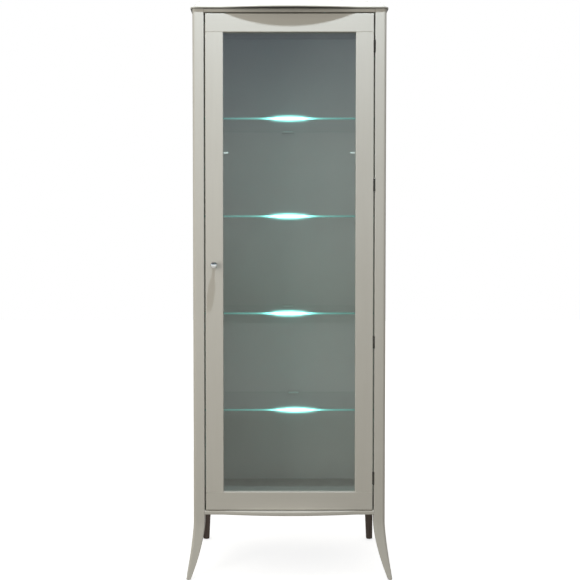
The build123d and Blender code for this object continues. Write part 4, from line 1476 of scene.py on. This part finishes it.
# ---------------------------------------------------------------- studio
@dataclass
class Studio:
    """The plain floor, the soft room light, the two lamps, the camera and the bloom of the lit glass."""

    camera_place: Point = (-0.039, -2.9125, 1.0513)
    camera_tilt: float = 88.28
    lens: float = 54.69
    shift: tuple[float, float] = (0.0227, -0.035)
    lamp_place: Point = (0.0, -0.613, 2.95)
    lamp_width: float = 0.06
    lamp_power: float = 38.0
    lamp_colour: Colour = (0.80, 0.90, 1.0)
    softbox_place: Point = (-1.2, -1.5, 1.1)
    softbox_size: tuple[float, float] = (0.7, 1.1)
    softbox_power: float = 8.0
    softbox_colour: Colour = (1.0, 0.97, 0.92)
    room: Colour = (0.84, 0.805, 0.74)
    room_right: Colour = (0.47, 0.45, 0.412)
    floor_colour: Colour = (0.80, 0.80, 0.79)
    floor_half: float = 9.0
    floor_roughness: float = 0.85
    floor_bounce: Colour = (0.10, 0.10, 0.09)
    floor_mirrored: Colour = (0.88, 0.93, 0.90)
    rug_mirrored: Colour = (0.54, 0.53, 0.50)
    rug_edge: tuple[float, float] = (-3.2, -2.6)
    room_turn: float = 0.9
    floor_glow: Colour = (0.66, 0.67, 0.69)
    mirrored_reach: float = 1.0
    bloom_from: float = 1.3
    bloom_reach: int = 4
    haze: float = 0.2
    haze_size: float = 0.2
    mirrored: tuple[tuple[float, Colour], ...] = (
        (-0.06, (0.75, 0.79, 0.75)),
        (0.01, (1.0, 1.07, 1.05)),
        (0.12, (1.08, 1.18, 1.20)),
        (0.15, (0.90, 1.0, 1.08)),
        (0.226, (0.82, 0.92, 1.03)),
        (0.232, (0.46, 0.47, 0.48)),
        (0.36, (0.20, 0.21, 0.23)),
        (0.85, (0.10, 0.10, 0.11)),
    )

    def build(self) -> None:
        """Sets the stage."""
        self.build_floor()
        self.build_world()
        self.build_lamps()
        self.build_camera()
        self.build_bloom()

    def build_floor(self) -> None:
        """Lays a plain pale floor."""
        work = bmesh.new()
        bmesh.ops.create_grid(work, x_segments=8, y_segments=8, size=self.floor_half)
        mesh = bpy.data.meshes.new("floor")
        work.to_mesh(mesh)
        work.free()
        floor = link("floor", mesh)
        material, nodes, shader = new_material("pale_floor")
        where = nodes.add("ShaderNodeTexCoord").outputs["Object"]
        tone = nodes.mix(nodes.noise(where, 3.0), self.floor_colour, scaled(self.floor_colour, 0.97))
        path = nodes.add("ShaderNodeLightPath")
        along = nodes.split(where)[1]
        near = nodes.remap(along, *self.rug_edge)
        carpet = nodes.mix(near, self.floor_mirrored, self.rug_mirrored)
        mirrored = nodes.mix(path.outputs["Is Glossy Ray"], (0.0, 0.0, 0.0), carpet)
        seen = path.outputs["Is Camera Ray"]
        nodes.dress(shader, Base_Color=nodes.mix(seen, self.floor_bounce, tone), Roughness=self.floor_roughness,
                    Emission_Color=nodes.mix(seen, mirrored, self.floor_glow), Emission_Strength=1.0)
        paint(floor, material)

    def build_world(self) -> None:
        """Lights the room evenly, with plain white where the camera looks past the floor."""
        world = bpy.data.worlds.new("studio")
        bpy.context.scene.world = world
        world.use_nodes = True
        nodes = Nodes(world.node_tree)
        path = nodes.add("ShaderNodeLightPath")
        across, _, up = nodes.split(nodes.add("ShaderNodeTexCoord").outputs["Generated"])
        fill = nodes.mix(nodes.remap(across, -self.room_turn, self.room_turn), self.room, self.room_right)
        heights = {"Value": up, "From Min": -self.mirrored_reach, "From Max": self.mirrored_reach}
        share = nodes.add("ShaderNodeMapRange", heights)
        ramp = nodes.add("ShaderNodeValToRGB", {0: share})
        stops = ramp.color_ramp.elements
        while len(stops) < len(self.mirrored):
            stops.new(0.5)
        for stop, (height, colour) in zip(stops, self.mirrored):
            stop.position = 0.5 + 0.5 * height / self.mirrored_reach
            stop.color = (*colour, 1.0)
        indirect = nodes.mix(path.outputs["Is Glossy Ray"], fill, ramp.outputs[0])
        colour = nodes.mix(path.outputs["Is Camera Ray"], indirect, (1.0, 1.0, 1.0))
        background = nodes.add("ShaderNodeBackground", {"Color": colour})
        nodes.add("ShaderNodeOutputWorld", {"Surface": background})

    def build_lamps(self) -> None:
        """Hangs the overhead lamp in front of the cabinet and stands a softbox to its left."""
        disc = (self.lamp_width, self.lamp_width)
        down = (0.0, 0.0, 0.0)
        self.add_lamp("overhead_lamp", self.lamp_place, down, "DISK", disc, self.lamp_power, self.lamp_colour)
        aim = Vector((0.0, 0.0, self.softbox_place[2])) - Vector(self.softbox_place)
        turn = tuple(aim.to_track_quat("-Z", "Y").to_euler())
        self.add_lamp("left_softbox", self.softbox_place, turn, "RECTANGLE", self.softbox_size,
                      self.softbox_power, self.softbox_colour)

    @staticmethod
    def add_lamp(name: str, place: Point, turn: Point, shape: str, size: tuple[float, float], power: float,
                 colour: Colour) -> None:
        """Adds one area lamp.

        Args:
            name: The lamp's name.
            place: Where it hangs.
            turn: How it is turned, in radians.
            shape: DISK or RECTANGLE.
            size: Its width and height.
            power: Its power in watts.
            colour: Its colour.
        """
        light = bpy.data.lights.new(name, "AREA")
        light.shape = shape
        light.size = size[0]
        if shape == "RECTANGLE":
            light.size_y = size[1]
        light.energy, light.color = power, colour
        lamp = bpy.data.objects.new(name, light)
        lamp.location, lamp.rotation_euler = place, turn
        lamp.visible_glossy = False
        bpy.context.scene.collection.objects.link(lamp)

    def build_camera(self) -> None:
        """Sets the camera."""
        lens = bpy.data.cameras.new("camera")
        lens.lens, lens.sensor_width = self.lens, 36.0
        lens.shift_x, lens.shift_y = self.shift
        camera = bpy.data.objects.new("camera", lens)
        camera.location = self.camera_place
        camera.rotation_euler = (math.radians(self.camera_tilt), 0.0, 0.0)
        bpy.context.scene.collection.objects.link(camera)
        bpy.context.scene.camera = camera

    def build_bloom(self) -> None:
        """Lets the brightest glass bloom a little, and shows colours as they are."""
        scene = bpy.context.scene
        scene.view_settings.view_transform = "Standard"
        scene.use_nodes = True
        nodes = Nodes(scene.node_tree)
        layers = nodes.add("CompositorNodeRLayers")
        glare = {"Threshold": self.bloom_from, "Strength": self.haze, "Size": self.haze_size}
        glare["Image"] = layers.outputs["Image"]
        bright = nodes.add("CompositorNodeGlare", glare, glare_type="BLOOM", quality="HIGH")
        spread = nodes.add("CompositorNodeBlur", {"Image": bright.outputs["Highlights"]}, filter_type="GAUSS",
                           size_x=self.bloom_reach, size_y=self.bloom_reach)
        images = {0: 1.0, 1: bright.outputs["Image"], 2: spread.outputs["Image"]}
        summed = nodes.add("CompositorNodeMixRGB", images, blend_type="ADD")
        nodes.add("CompositorNodeComposite", {"Image": summed.outputs["Image"]})


# ---------------------------------------------------------------- the whole
def main() -> None:
    """Builds the cabinet and its stage."""
    finishes, rules = Finishes(), Rules()
    for part in (
        Studio(),
        Carcass(finishes, rules),
        Door(finishes, rules),
        HingesAndCatches(finishes, rules),
        Shelves(finishes, rules),
    ):
        part.build()
        log.info("%s built", type(part).__name__)


if __name__ == "__main__":
    main()
